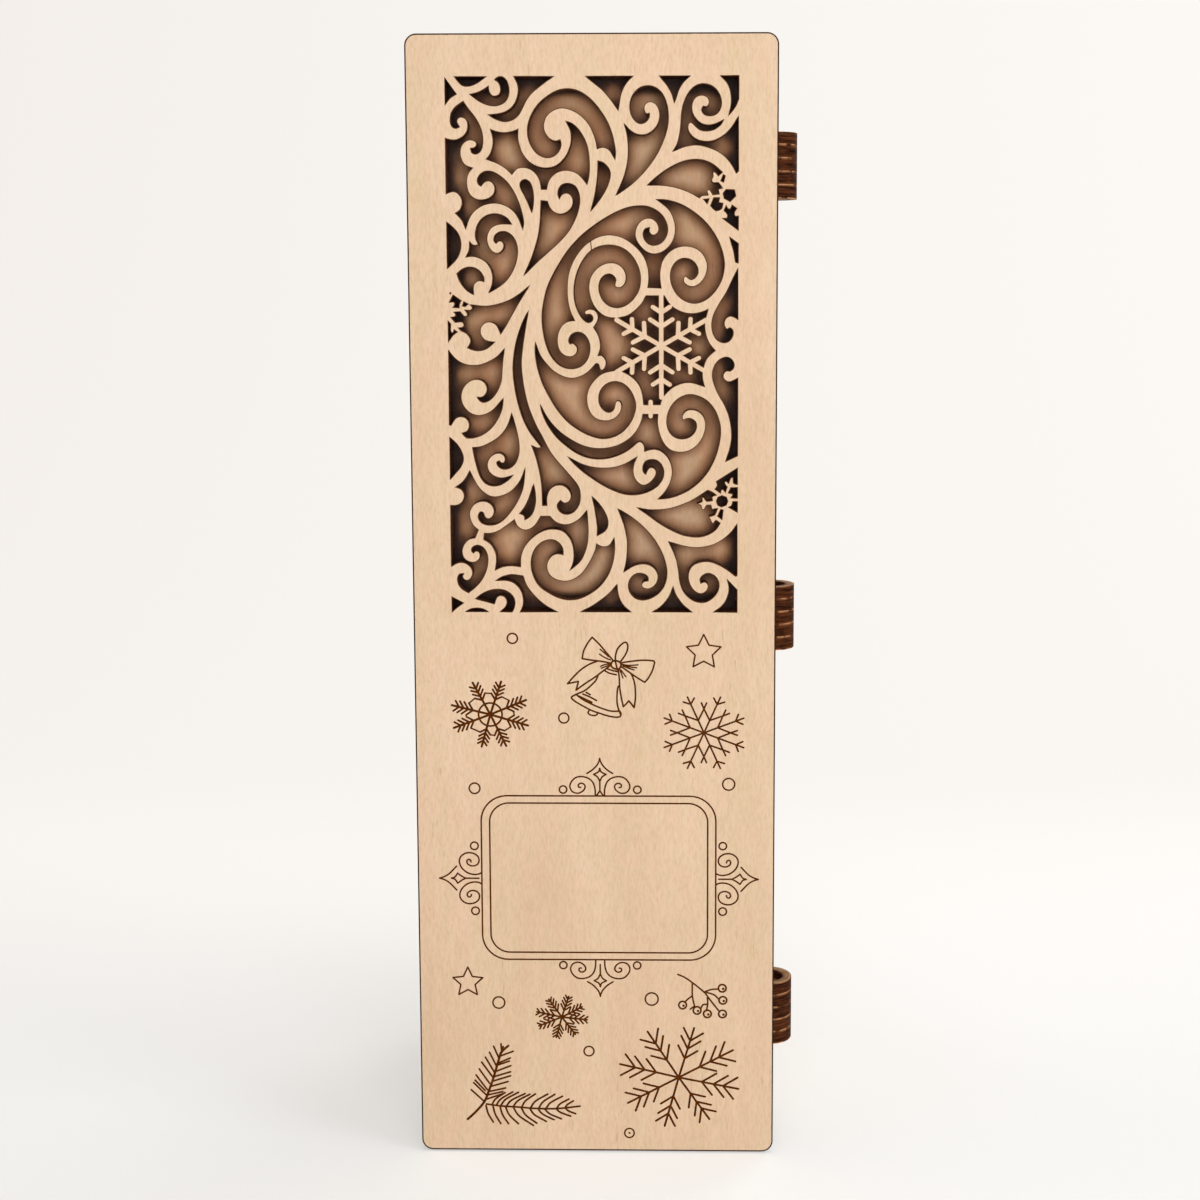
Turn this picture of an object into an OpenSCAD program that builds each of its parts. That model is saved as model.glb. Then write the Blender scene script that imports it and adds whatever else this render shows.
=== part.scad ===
// A tall wooden box for one wine bottle. Its door is a thick ply front, cut through above with a
// window of scroll fretwork and snowflakes over a backing board, and turns on three ring hinges.
// Millimetres. +Z is up, the front faces -Y, and the hinges are on the +X side.
// The origin is the middle of the base, at the height of the surface that the box stands on.

/* [Sheet] */
// Thickness of the plywood that every flat piece is cut from
ply = 3.8; // [3:0.1:5]
// Gap left in a glued finger joint
glue_gap = 0.05; // [0.02:0.01:0.15]

/* [Front panel] */
// Width of the front panel
panel_w = 110; // [104:1:130]
// Height of the front panel's top edge above the table
panel_h = 344; // [342:1:360]
// Radius of the front panel's corners
panel_corner = 3.5; // [1:0.5:8]
// Clearance between the door's bottom edge and the table
door_lift = 0.5; // [0.3:0.1:2]

/* [Fretwork window] */
// Width of the plain border beside the window
side_border = 11.8; // [11:0.1:14]
// Height of the plain border above the window
top_border = 12.5; // [11:0.5:16]
// Height of the window's lower edge, as a share of the panel's height
window_start = 0.5; // [0.48:0.01:0.54]
// Length of one straight step along a cut curve
cut_step = 1.2; // [0.8:0.1:2]

/* [Snowflake] */
// Width of the snowflake's stems and twigs
flake_stroke = 1.7; // [1.4:0.1:1.9]
// Length of a stem
flake_stem = 15.4; // [15:0.1:16]
// Distance from the middle to the inner twigs
flake_inner_at = 5.7; // [5.2:0.1:6.4]
// Length of an inner twig
flake_inner = 4.0; // [3.4:0.1:4.2]
// Distance from the middle to the outer twigs
flake_outer_at = 9.9; // [9.4:0.1:10.2]
// Length of an outer twig
flake_outer = 3.0; // [2.4:0.1:3.2]
// Angle between a stem and its twigs
flake_angle = 57; // [50:1:62]

/* [Door frame] */
// Height of the rail under the window
rail_h = 12; // [8:1:20]
// Height of the rail at the foot of the door
foot_rail_h = 12; // [8:1:20]

/* [Box] */
// Height by which the front panel stands above the box
top_overhang = 8; // [6:0.5:9]
// Clear depth inside the box
inner_depth = 86.4; // [80:0.2:100]
// Gap between the closed door and the box
door_gap = 0.2; // [0.1:0.05:0.4]

/* [Finger joints] */
// Fingers of the back panel in each side wall
side_fingers = 9; // [5:1:13]
// Fingers of the top and the bottom in each side wall
end_fingers = 3; // [2:1:5]
// Fingers of the back panel in the top and in the bottom
back_fingers = 3; // [2:1:5]

/* [Hinges] */
// Distance from the top of the front panel down to the top face of the upper hinge
upper_hinge_drop = 28.2; // [26:0.1:50]
// Height of the middle hinge's top face above the window's lower edge
middle_hinge_rise = 6.9; // [-10:0.1:30]
// Height of the top face of the lower hinge above the table
lower_hinge = 53.2; // [40:0.1:80]
// Clearance between a hinge ring and the back of the front panel
ring_front_gap = 0.7; // [0.5:0.05:1.2]
// Clearance between a hinge ring and the side of the box
ring_side_gap = 0.5; // [0.3:0.05:1]
// Width of the wood between the outside of a ring and its bore
ring_band = 2.75; // [2.4:0.05:3.5]
// Clearance between the pin and the bore
pin_fit = 0.05; // [0.02:0.01:0.1]
// Depth of the pin's top below the top ring's face
pin_recess = 2.6; // [1:0.1:3]
// Running gap between two rings
ring_gap = 0.15; // [0.05:0.01:0.3]
// Distance of the hinge axis inside the front panel's edge
axis_inset = 0.8; // [0:0.05:1.5]

/* [Closure] */
// Diameter of a magnet
magnet_d = 6; // [4:0.5:8]
// Thickness of a magnet
magnet_t = 2; // [1.5:0.1:2.2]
// Clearance round a magnet in its pocket
magnet_fit = 0.05; // [0.02:0.01:0.1]
// Depth of a magnet's face below the wood
magnet_sink = 0.1; // [0.05:0.05:0.3]
// Width and height of the block that holds a magnet inside the box
block_size = 10; // [9:0.5:14]
// Distance from the top of the box down to the middle of the upper magnets
upper_magnet_drop = 51; // [25:1:90]
// Height of the middle of the lower magnets above the table
lower_magnet = 60; // [30:1:90]

/* [Hidden] */
HINGES = ["upper", "middle", "lower"];
rings = 5;

$fn = 96;
little = 0.5;

// Depths, from the front face to the back face
door_t = 3 * ply;
depth = door_t + door_gap + inner_depth + ply;
front_y = -depth / 2;
stile_y = front_y + ply;
backing_y = stile_y + ply;
door_back_y = front_y + door_t;
box_front_y = door_back_y + door_gap;
back_y = depth / 2;

// The window, which fills the panel's upper part inside its borders
window_w = panel_w - 2 * side_border;
window_x = window_w / 2;
window_bottom = panel_h * window_start;
window_top = panel_h - top_border;
window_h = window_top - window_bottom;

// The hinge axis and the rings round it
axis_x = panel_w / 2 - axis_inset;
axis_y = (door_back_y + box_front_y) / 2;
ring_r = axis_y - stile_y - ring_front_gap;
bore_r = ring_r - ring_band;
ring_t = ply;
ring_pitch = ring_t + ring_gap;
hinge_h = rings * ring_pitch - ring_gap;
hinge_tops = [panel_h - upper_hinge_drop, window_bottom + middle_hinge_rise, lower_hinge];

// The box, which keeps clear of the rings at its sides
box_w = 2 * (axis_x - ring_r - ring_side_gap);
box_h = panel_h - top_overhang;
inner_x = box_w / 2 - ply;
tongue_end_x = inner_x;
body_tongue_y = box_front_y;
body_tongue_w = axis_y + ring_r - body_tongue_y;
door_tongue_y = backing_y;
door_tongue_w = door_back_y - door_tongue_y;
magnet_x = -inner_x + block_size / 2;
upper_magnet = box_h - upper_magnet_drop;
magnet_heights = [upper_magnet, lower_magnet];
block_t = 2 * ply;
pocket_r = magnet_d / 2 + magnet_fit;
pocket_depth = magnet_t + magnet_sink;

// ---- The cut-outs of the window --------------------------------------------------------
// Each cut-out is a closed outline on the drawing of the window. The curve runs smoothly through
// its points, and turns sharply at a point that has C as its third value.
drawing_w = 86.4;
drawing_h = 159.5;
drawing_bottom = 172;
C = 1;

upper_left = [
    // corner pieces
    [[-43.2, 331.2, C], [-39.9, 326.5, C], [-41.8, 325.3], [-43.2, 323.4, C]],
    [[-40.3, 331.5, C], [-31.0, 331.5, C], [-33.9, 329.6], [-36.2, 328.8], [-38.0, 329.0], [-39.1, 330.0]],
    // hook under the top edge
    [[-30.4, 328.7, C], [-30.2, 327.1], [-29.4, 326.0], [-28.4, 325.8], [-27.3, 326.2], [-26.7, 327.4],
     [-26.9, 329.0], [-27.5, 330.0], [-28.4, 330.6, C], [-27.6, 331.3], [-26.2, 331.4], [-25.0, 330.3],
     [-24.4, 328.4], [-24.4, 326.6], [-25.0, 324.9], [-26.3, 323.7], [-28.3, 323.1], [-30.7, 323.4],
     [-33.2, 324.5], [-35.8, 326.4, C], [-33.9, 326.8], [-32.0, 327.6]],
    // crescent between the hook and the large scroll
    [[-22.8, 331.5, C], [-11.2, 331.5, C], [-13.2, 330.2], [-15.4, 328.6], [-17.6, 326.8], [-19.2, 324.8],
     [-20.5, 322.3], [-21.6, 320.4], [-23.2, 319.1], [-25.6, 318.5], [-28.2, 319.2], [-30.5, 320.5, C],
     [-28.2, 320.6], [-25.4, 321.3], [-23.2, 322.9], [-21.9, 325.3], [-21.5, 327.9], [-21.9, 329.8]],
    // scrolls along the left edge
    [[-37.9, 324.3, C], [-36.4, 322.2], [-34.8, 320.2], [-33.5, 318.1], [-32.6, 315.9], [-32.2, 313.4],
     [-32.5, 310.9], [-33.3, 309.6], [-34.5, 309.1], [-35.5, 309.6], [-35.8, 310.7, C], [-34.9, 310.8],
     [-34.1, 311.4], [-34.0, 312.3], [-34.7, 313.0], [-36.2, 313.3], [-37.8, 312.5], [-38.8, 311.0],
     [-39.0, 308.9], [-38.4, 306.9], [-37.2, 305.6], [-35.4, 305.0, C], [-36.6, 303.6], [-37.2, 301.6],
     [-37.1, 299.3], [-36.3, 297.3], [-34.8, 296.0], [-32.7, 295.6], [-30.6, 296.1], [-29.1, 297.4],
     [-28.7, 299.1], [-29.2, 300.5], [-30.4, 301.3], [-31.8, 301.0], [-32.9, 299.8, C], [-33.6, 300.3],
     [-33.9, 301.5], [-33.3, 302.9], [-31.9, 303.9], [-29.9, 304.0], [-27.6, 302.9], [-25.3, 301.0],
     [-23.4, 298.3], [-22.0, 295.4], [-21.0, 292.3], [-20.4, 289.3], [-20.6, 286.9, C], [-21.5, 289.6],
     [-22.9, 292.0], [-25.1, 293.8], [-27.7, 294.7], [-30.4, 294.7], [-33.0, 293.9], [-35.2, 292.3],
     [-36.6, 290.2], [-37.6, 287.2, C], [-38.6, 289.7], [-40.5, 291.8, C], [-39.2, 292.7], [-38.5, 294.4],
     [-38.7, 296.3], [-39.9, 297.8], [-41.4, 298.2], [-43.2, 297.6, C], [-43.2, 313.6, C], [-41.7, 313.2],
     [-40.0, 313.2], [-38.1, 314.1], [-36.8, 315.7], [-36.5, 317.8], [-37.1, 319.3], [-38.3, 319.9],
     [-39.4, 319.6], [-39.9, 318.5], [-39.1, 317.0, C], [-40.1, 316.6], [-41.2, 317.1], [-41.7, 318.7],
     [-41.4, 320.9], [-40.3, 322.6], [-39.1, 323.5]],
    // field between the scrolls
    [[-29.9, 316.2, C], [-28.4, 315.6], [-25.9, 315.2], [-23.3, 315.6], [-21.8, 316.2, C], [-21.9, 314.4],
     [-21.7, 312.4], [-21.1, 310.2], [-19.9, 308.1], [-18.2, 306.4], [-16.0, 305.3], [-13.5, 304.9],
     [-11.2, 305.3], [-9.3, 306.5], [-7.6, 308.5], [-6.5, 310.8], [-6.0, 313.3], [-6.3, 316.0],
     [-7.6, 318.5, C], [-5.8, 317.8], [-4.0, 316.2], [-2.5, 313.9], [-1.4, 311.2], [-0.9, 308.0],
     [-0.8, 304.8], [-1.0, 302.4], [-1.5, 300.2, C], [-2.5, 301.6], [-4.3, 303.4], [-6.4, 304.2],
     [-8.4, 304.3], [-10.6, 303.6], [-12.4, 302.0], [-13.2, 300.3], [-13.5, 298.8, C], [-15.0, 298.8, C],
     [-15.3, 301.0], [-16.2, 302.9], [-17.8, 304.5], [-20.0, 305.2], [-22.2, 304.9], [-23.7, 303.2, C],
     [-25.3, 304.8], [-27.9, 306.4], [-31.1, 307.6, C], [-29.9, 309.2], [-29.1, 312.0], [-29.3, 314.5]],
    // drop
    [[-19.8, 301.6], [-18.6, 301.0], [-17.8, 299.4], [-17.4, 296.9], [-17.5, 294.2], [-17.9, 292.0, C],
     [-18.7, 294.2], [-19.9, 296.8], [-21.0, 298.8], [-21.3, 300.3], [-20.8, 301.2]]
];

upper_middle = [
    // large scroll
    [[6.8, 307.4, C], [6.9, 309.8], [6.5, 312.4], [5.8, 315.2], [4.6, 318.2], [3.0, 320.9], [1.0, 323.5],
     [-1.3, 325.7], [-4.0, 327.3], [-7.0, 327.9], [-10.0, 327.4], [-13.0, 325.8], [-15.6, 323.6],
     [-17.5, 320.9], [-18.7, 317.8], [-18.9, 314.9], [-18.2, 312.1], [-16.6, 309.6], [-15.0, 308.5],
     [-13.3, 308.0], [-11.4, 308.4], [-9.9, 309.7], [-9.1, 311.6], [-9.4, 313.1, C], [-10.8, 312.7],
     [-12.6, 313.5], [-13.9, 315.3], [-14.3, 317.4], [-13.5, 319.9], [-11.8, 321.5], [-9.6, 322.4],
     [-7.4, 322.3], [-4.8, 321.3], [-2.6, 319.7], [-0.7, 317.5], [0.6, 314.8], [1.3, 312.5],
     [1.6, 310.6, C], [3.1, 311.0], [4.6, 310.6], [5.7, 309.5]],
    // triangles at the top edge
    [[-1.7, 331.5, C], [12.2, 331.5, C], [10.7, 330.2], [9.4, 328.3], [8.5, 326.1], [8.1, 323.8],
     [7.8, 321.7, C], [6.6, 323.5], [5.0, 325.6], [3.2, 327.6], [1.2, 329.2]],
    [[20.0, 331.5, C], [28.9, 331.5, C], [27.2, 330.0], [25.7, 327.8], [24.9, 325.5], [24.3, 323.8, C],
     [23.8, 326.0], [22.6, 328.3], [21.2, 330.1]],
    // leaf with a scroll
    [[9.6, 317.7, C], [10.3, 315.3], [10.7, 312.5], [10.8, 309.5], [10.5, 306.3], [9.7, 303.0],
     [8.6, 300.2], [7.1, 297.0, C], [9.5, 298.6], [12.0, 300.5], [14.6, 303.0], [17.1, 305.9],
     [19.3, 309.2], [21.0, 312.8], [22.2, 316.5], [22.5, 320.2], [22.1, 323.3], [20.9, 326.2],
     [18.9, 328.1], [16.7, 328.7], [14.4, 328.2], [12.5, 326.6], [11.5, 324.4], [11.3, 322.0],
     [12.0, 319.7], [13.3, 318.2], [14.7, 317.8], [16.1, 318.5], [16.9, 319.7], [16.9, 320.7, C],
     [16.0, 320.6], [15.4, 321.6], [15.4, 322.9], [16.2, 323.9], [17.4, 324.2], [18.9, 323.5],
     [19.8, 322.0], [20.1, 320.1], [19.6, 317.8], [18.2, 315.9], [16.0, 314.6], [13.5, 314.6], [11.3, 315.8]],
    // small leaf
    [[1.8, 306.9, C], [3.2, 306.5], [4.7, 305.1], [5.4, 303.3], [5.0, 301.0], [3.9, 298.4], [2.2, 295.7],
     [-0.4, 292.4, C], [0.5, 295.6], [1.2, 299.0], [1.7, 303.0]],
    // hanging leaf with a round scroll
    [[-15.1, 295.4, C], [-13.3, 295.2, C], [-12.7, 293.5], [-11.4, 292.0], [-9.4, 291.4], [-7.3, 292.1],
     [-5.9, 293.7], [-5.6, 295.6], [-6.3, 297.1], [-7.6, 297.7], [-9.0, 297.2], [-9.7, 296.0, C],
     [-10.1, 297.4], [-9.7, 299.1], [-8.5, 300.2], [-6.8, 300.4], [-5.0, 299.6], [-4.0, 297.7],
     [-3.7, 295.2], [-4.2, 292.5], [-5.3, 289.6], [-7.2, 286.3], [-10.0, 283.2], [-13.7, 279.9],
     [-16.9, 277.0], [-20.4, 273.5, C], [-18.7, 277.1], [-17.2, 281.0], [-16.0, 285.2], [-15.4, 289.5]]
];

upper_right = [
    // scroll over a cup
    [[23.9, 309.7, C], [25.0, 311.4], [25.8, 314.0], [26.3, 317.5], [26.5, 320.8], [27.1, 323.6],
     [28.3, 326.3], [30.1, 328.3], [32.4, 329.2], [34.9, 328.8], [36.9, 327.2], [38.0, 324.9],
     [38.0, 322.6], [36.9, 320.7], [35.0, 320.0], [33.2, 320.4], [32.4, 321.7], [32.8, 322.7, C],
     [33.9, 322.6], [34.6, 323.6], [34.4, 325.0], [33.2, 325.9], [31.5, 325.9], [30.1, 324.9],
     [29.4, 323.0], [29.6, 320.9], [30.8, 318.9], [32.8, 317.5], [35.2, 317.3], [37.3, 318.0],
     [38.8, 318.8, C], [37.9, 317.4], [36.1, 316.1], [33.9, 315.6], [31.8, 316.0], [30.3, 317.3],
     [29.2, 318.2], [28.4, 317.6], [28.3, 316.0], [29.4, 314.2], [31.4, 312.9], [34.2, 312.5],
     [36.8, 313.1], [39.4, 314.7], [41.5, 317.0], [43.2, 319.8, C], [43.2, 303.9, C], [42.6, 303.4, C],
     [41.4, 305.6], [39.6, 307.9], [37.2, 309.7], [34.3, 310.9], [30.9, 311.6], [27.3, 311.1]],
    // corner piece
    [[37.9, 331.5, C], [43.2, 331.5, C], [43.2, 324.9, C], [42.2, 322.6], [40.3, 320.1, C], [41.0, 322.8],
     [41.1, 325.0], [40.7, 327.6], [39.7, 329.7]],
    // leaf that ends at the upper small snowflake
    [[16.4, 299.9, C], [19.0, 302.2], [22.4, 304.6], [26.2, 306.5], [29.8, 307.3], [33.2, 307.0],
     [36.0, 305.7], [38.4, 303.6, C], [37.3, 302.6, C], [36.4, 303.7], [35.6, 303.5], [35.7, 302.4],
     [35.2, 301.3], [35.9, 300.4], [37.3, 300.5], [38.4, 299.0, C], [37.2, 298.7, C], [37.5, 297.3, C],
     [35.7, 297.1, C], [35.0, 298.3], [34.2, 298.6], [33.9, 297.8], [34.2, 297.0], [32.6, 296.9],
     [31.7, 296.2, C], [28.8, 297.8], [25.0, 299.2], [20.7, 299.9]],
    // the upper small snowflake's own openings
    [[38.8, 302.8, C], [39.3, 302.5, C], [38.8, 300.8, C], [38.1, 301.1, C]],
    [[39.6, 298.5, C], [42.0, 298.4, C], [42.4, 296.7, C], [40.8, 295.1, C], [39.1, 296.0, C],
     [38.8, 297.4, C]],
    [[36.0, 296.1, C], [37.6, 296.1, C], [37.3, 294.7, C], [38.6, 294.5, C], [38.2, 293.0], [36.6, 292.4],
     [35.1, 293.8, C]],
    [[33.0, 295.7, C], [34.5, 295.8, C], [34.0, 294.5, C]],
    [[39.6, 293.8, C], [40.1, 292.9], [40.9, 292.8], [41.4, 293.9, C], [42.7, 293.0, C], [42.0, 291.9],
     [42.2, 290.7], [43.2, 290.7, C], [43.2, 286.7, C], [38.6, 290.1, C], [40.0, 290.1, C],
     [40.1, 291.3], [39.1, 292.4, C]],
    // narrow piece on the right edge
    [[40.7, 284.6, C], [43.2, 282.7, C], [43.2, 277.1, C], [42.5, 277.3, C], [41.9, 280.6]],
    // comma on the right edge, above the middle
    [[43.2, 275.4, C], [43.2, 260.4, C], [42.1, 261.1], [40.9, 261.4], [39.7, 260.8], [39.1, 259.6],
     [39.2, 258.3], [40.0, 257.3, C], [40.8, 257.8], [41.6, 257.2], [41.8, 256.0], [41.2, 254.6],
     [40.2, 253.7], [38.8, 253.5], [37.2, 254.2], [36.0, 255.9], [35.5, 258.2], [35.7, 260.5],
     [36.6, 262.9], [38.1, 265.6], [39.8, 268.3], [41.2, 271.3]]
];

middle_left = [
    // half round at the left edge
    [[-43.2, 289.1, C], [-41.5, 287.7], [-39.9, 285.8], [-39.1, 283.2], [-39.4, 280.6], [-40.6, 278.2],
     [-43.2, 275.6, C]],
    // double scroll
    [[-24.0, 288.6, C], [-25.2, 290.2], [-26.9, 291.2], [-29.2, 291.6], [-31.5, 291.0], [-33.3, 289.5],
     [-34.4, 287.3], [-34.7, 285.0], [-34.3, 283.6], [-33.7, 282.5, C], [-35.0, 282.3], [-35.8, 282.6],
     [-36.5, 283.4, C], [-36.5, 281.6], [-36.9, 280.2], [-37.6, 278.9, C], [-35.8, 279.2],
     [-33.9, 278.8], [-31.9, 277.7], [-30.4, 275.8], [-29.7, 273.4], [-29.9, 270.7], [-30.9, 268.4, C],
     [-28.6, 269.7], [-26.3, 271.4], [-24.4, 273.7], [-23.0, 276.7], [-22.3, 280.0], [-22.6, 282.9],
     [-23.9, 285.2], [-25.7, 286.3], [-27.6, 286.2], [-28.9, 285.2], [-29.2, 283.8], [-28.6, 283.0, C],
     [-27.9, 283.6], [-27.0, 283.6], [-26.3, 282.8], [-26.4, 281.4], [-27.4, 280.2], [-28.9, 280.0],
     [-30.4, 281.1], [-31.3, 283.2], [-31.3, 285.3], [-30.3, 287.3], [-28.6, 288.4], [-26.5, 288.7]],
    // eye
    [[-40.3, 274.0, C], [-38.9, 275.2], [-37.0, 275.9], [-34.9, 275.6], [-33.3, 274.4], [-32.4, 272.8],
     [-32.4, 271.7, C], [-33.7, 272.0], [-34.9, 271.5], [-35.6, 270.2], [-35.5, 267.9, C],
     [-37.1, 268.8], [-38.8, 270.6], [-39.9, 272.6]],
    // leaf that starts at the left small snowflake
    [[-18.8, 270.4, C], [-21.4, 268.2], [-24.6, 266.2], [-28.2, 264.9], [-32.0, 264.3], [-36.6, 264.8, C],
     [-35.9, 264.3], [-35.9, 263.6], [-36.6, 263.1], [-38.1, 263.2, C], [-37.5, 262.5], [-37.3, 261.7],
     [-37.9, 261.2], [-38.7, 261.6], [-39.6, 262.7, C], [-41.4, 262.6, C], [-40.8, 261.9],
     [-41.2, 261.2], [-42.3, 261.0, C], [-41.0, 259.6, C], [-39.3, 259.8], [-38.6, 259.4],
     [-38.4, 258.5], [-39.0, 258.0], [-40.1, 257.9, C], [-39.3, 257.1, C], [-37.7, 256.3],
     [-36.7, 255.0], [-36.5, 253.6], [-37.4, 252.0, C], [-35.6, 251.3], [-33.7, 251.2], [-31.6, 251.9],
     [-29.4, 253.7, C], [-31.0, 253.8], [-32.5, 254.4], [-33.5, 255.8], [-33.7, 257.4], [-33.0, 258.9],
     [-31.6, 259.7], [-30.0, 259.6], [-28.6, 258.6], [-27.5, 256.2, C], [-25.8, 258.9], [-23.6, 262.8],
     [-21.2, 266.8]],
    // the left small snowflake's own openings
    [[-41.6, 267.6, C], [-39.3, 266.0, C], [-39.8, 265.0], [-39.9, 264.0, C], [-41.7, 264.0, C],
     [-41.1, 264.8], [-41.4, 265.7], [-42.7, 265.6, C]],
    [[-38.4, 265.6, C], [-37.2, 265.0, C], [-38.1, 264.3, C], [-38.8, 264.5, C]],
    [[-43.2, 259.9, C], [-42.5, 259.0], [-42.6, 257.6], [-42.3, 256.5], [-41.7, 256.5], [-41.4, 257.3, C],
     [-40.6, 256.7, C], [-41.8, 255.8], [-42.7, 254.6], [-43.2, 253.8, C]],
    // bowl with a large round scroll
    [[-43.2, 251.2, C], [-41.6, 249.1], [-39.3, 247.4], [-36.5, 246.7], [-33.5, 246.9], [-30.4, 248.2],
     [-28.3, 249.6], [-26.5, 251.7, C], [-27.0, 248.5], [-27.3, 245.0], [-27.6, 242.0], [-28.7, 239.2],
     [-30.3, 237.0], [-32.2, 235.8], [-33.8, 236.0], [-34.7, 237.2, C], [-33.3, 237.2], [-32.2, 238.1],
     [-31.7, 239.6], [-32.2, 241.3], [-33.6, 242.4], [-35.5, 242.6], [-37.6, 241.7], [-39.2, 239.6],
     [-39.7, 237.0], [-39.0, 234.6], [-37.2, 232.6], [-34.9, 231.7], [-32.4, 232.0], [-29.9, 233.5],
     [-27.0, 236.8, C], [-27.4, 233.9], [-28.5, 231.1], [-30.4, 228.3], [-32.8, 226.3], [-35.4, 225.2],
     [-38.0, 225.0], [-39.4, 226.4, C], [-38.0, 226.9], [-37.2, 228.4], [-37.5, 230.1], [-38.6, 231.2],
     [-40.2, 231.4], [-41.6, 230.7], [-42.8, 228.8, C], [-43.2, 229.0, C]],
    // half round at the left edge
    [[-43.2, 225.1, C], [-41.2, 223.2], [-39.8, 221.0], [-39.2, 218.6], [-40.0, 216.3], [-41.4, 214.6],
     [-43.2, 212.5, C]],
    // long blade that runs down into a hook
    [[-19.2, 262.9, C], [-20.6, 260.2], [-21.9, 257.0], [-23.0, 253.2], [-23.7, 249.0], [-23.9, 245.0],
     [-23.5, 240.6], [-22.5, 235.4], [-20.9, 230.4], [-18.8, 226.4], [-15.5, 222.1, C], [-16.9, 221.9],
     [-18.6, 222.7, C], [-17.4, 219.6], [-16.3, 215.2], [-15.6, 210.5], [-15.4, 204.6, C],
     [-14.2, 204.6, C], [-14.2, 207.2], [-13.2, 209.5], [-11.4, 210.7], [-9.3, 210.7], [-7.5, 209.4],
     [-6.7, 207.4], [-7.4, 205.7], [-8.9, 205.2], [-10.0, 206.0, C], [-10.9, 204.9], [-10.8, 203.6],
     [-9.7, 202.3], [-7.9, 201.9], [-6.0, 202.7], [-4.6, 204.6], [-4.1, 207.0], [-4.4, 209.7],
     [-5.9, 212.1], [-8.4, 215.0], [-11.0, 218.0], [-13.2, 221.0], [-15.3, 225.1], [-17.3, 228.9],
     [-19.2, 233.6], [-20.4, 238.0], [-21.2, 243.0], [-21.5, 247.5], [-21.1, 251.8], [-20.3, 257.0]]
];

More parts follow.
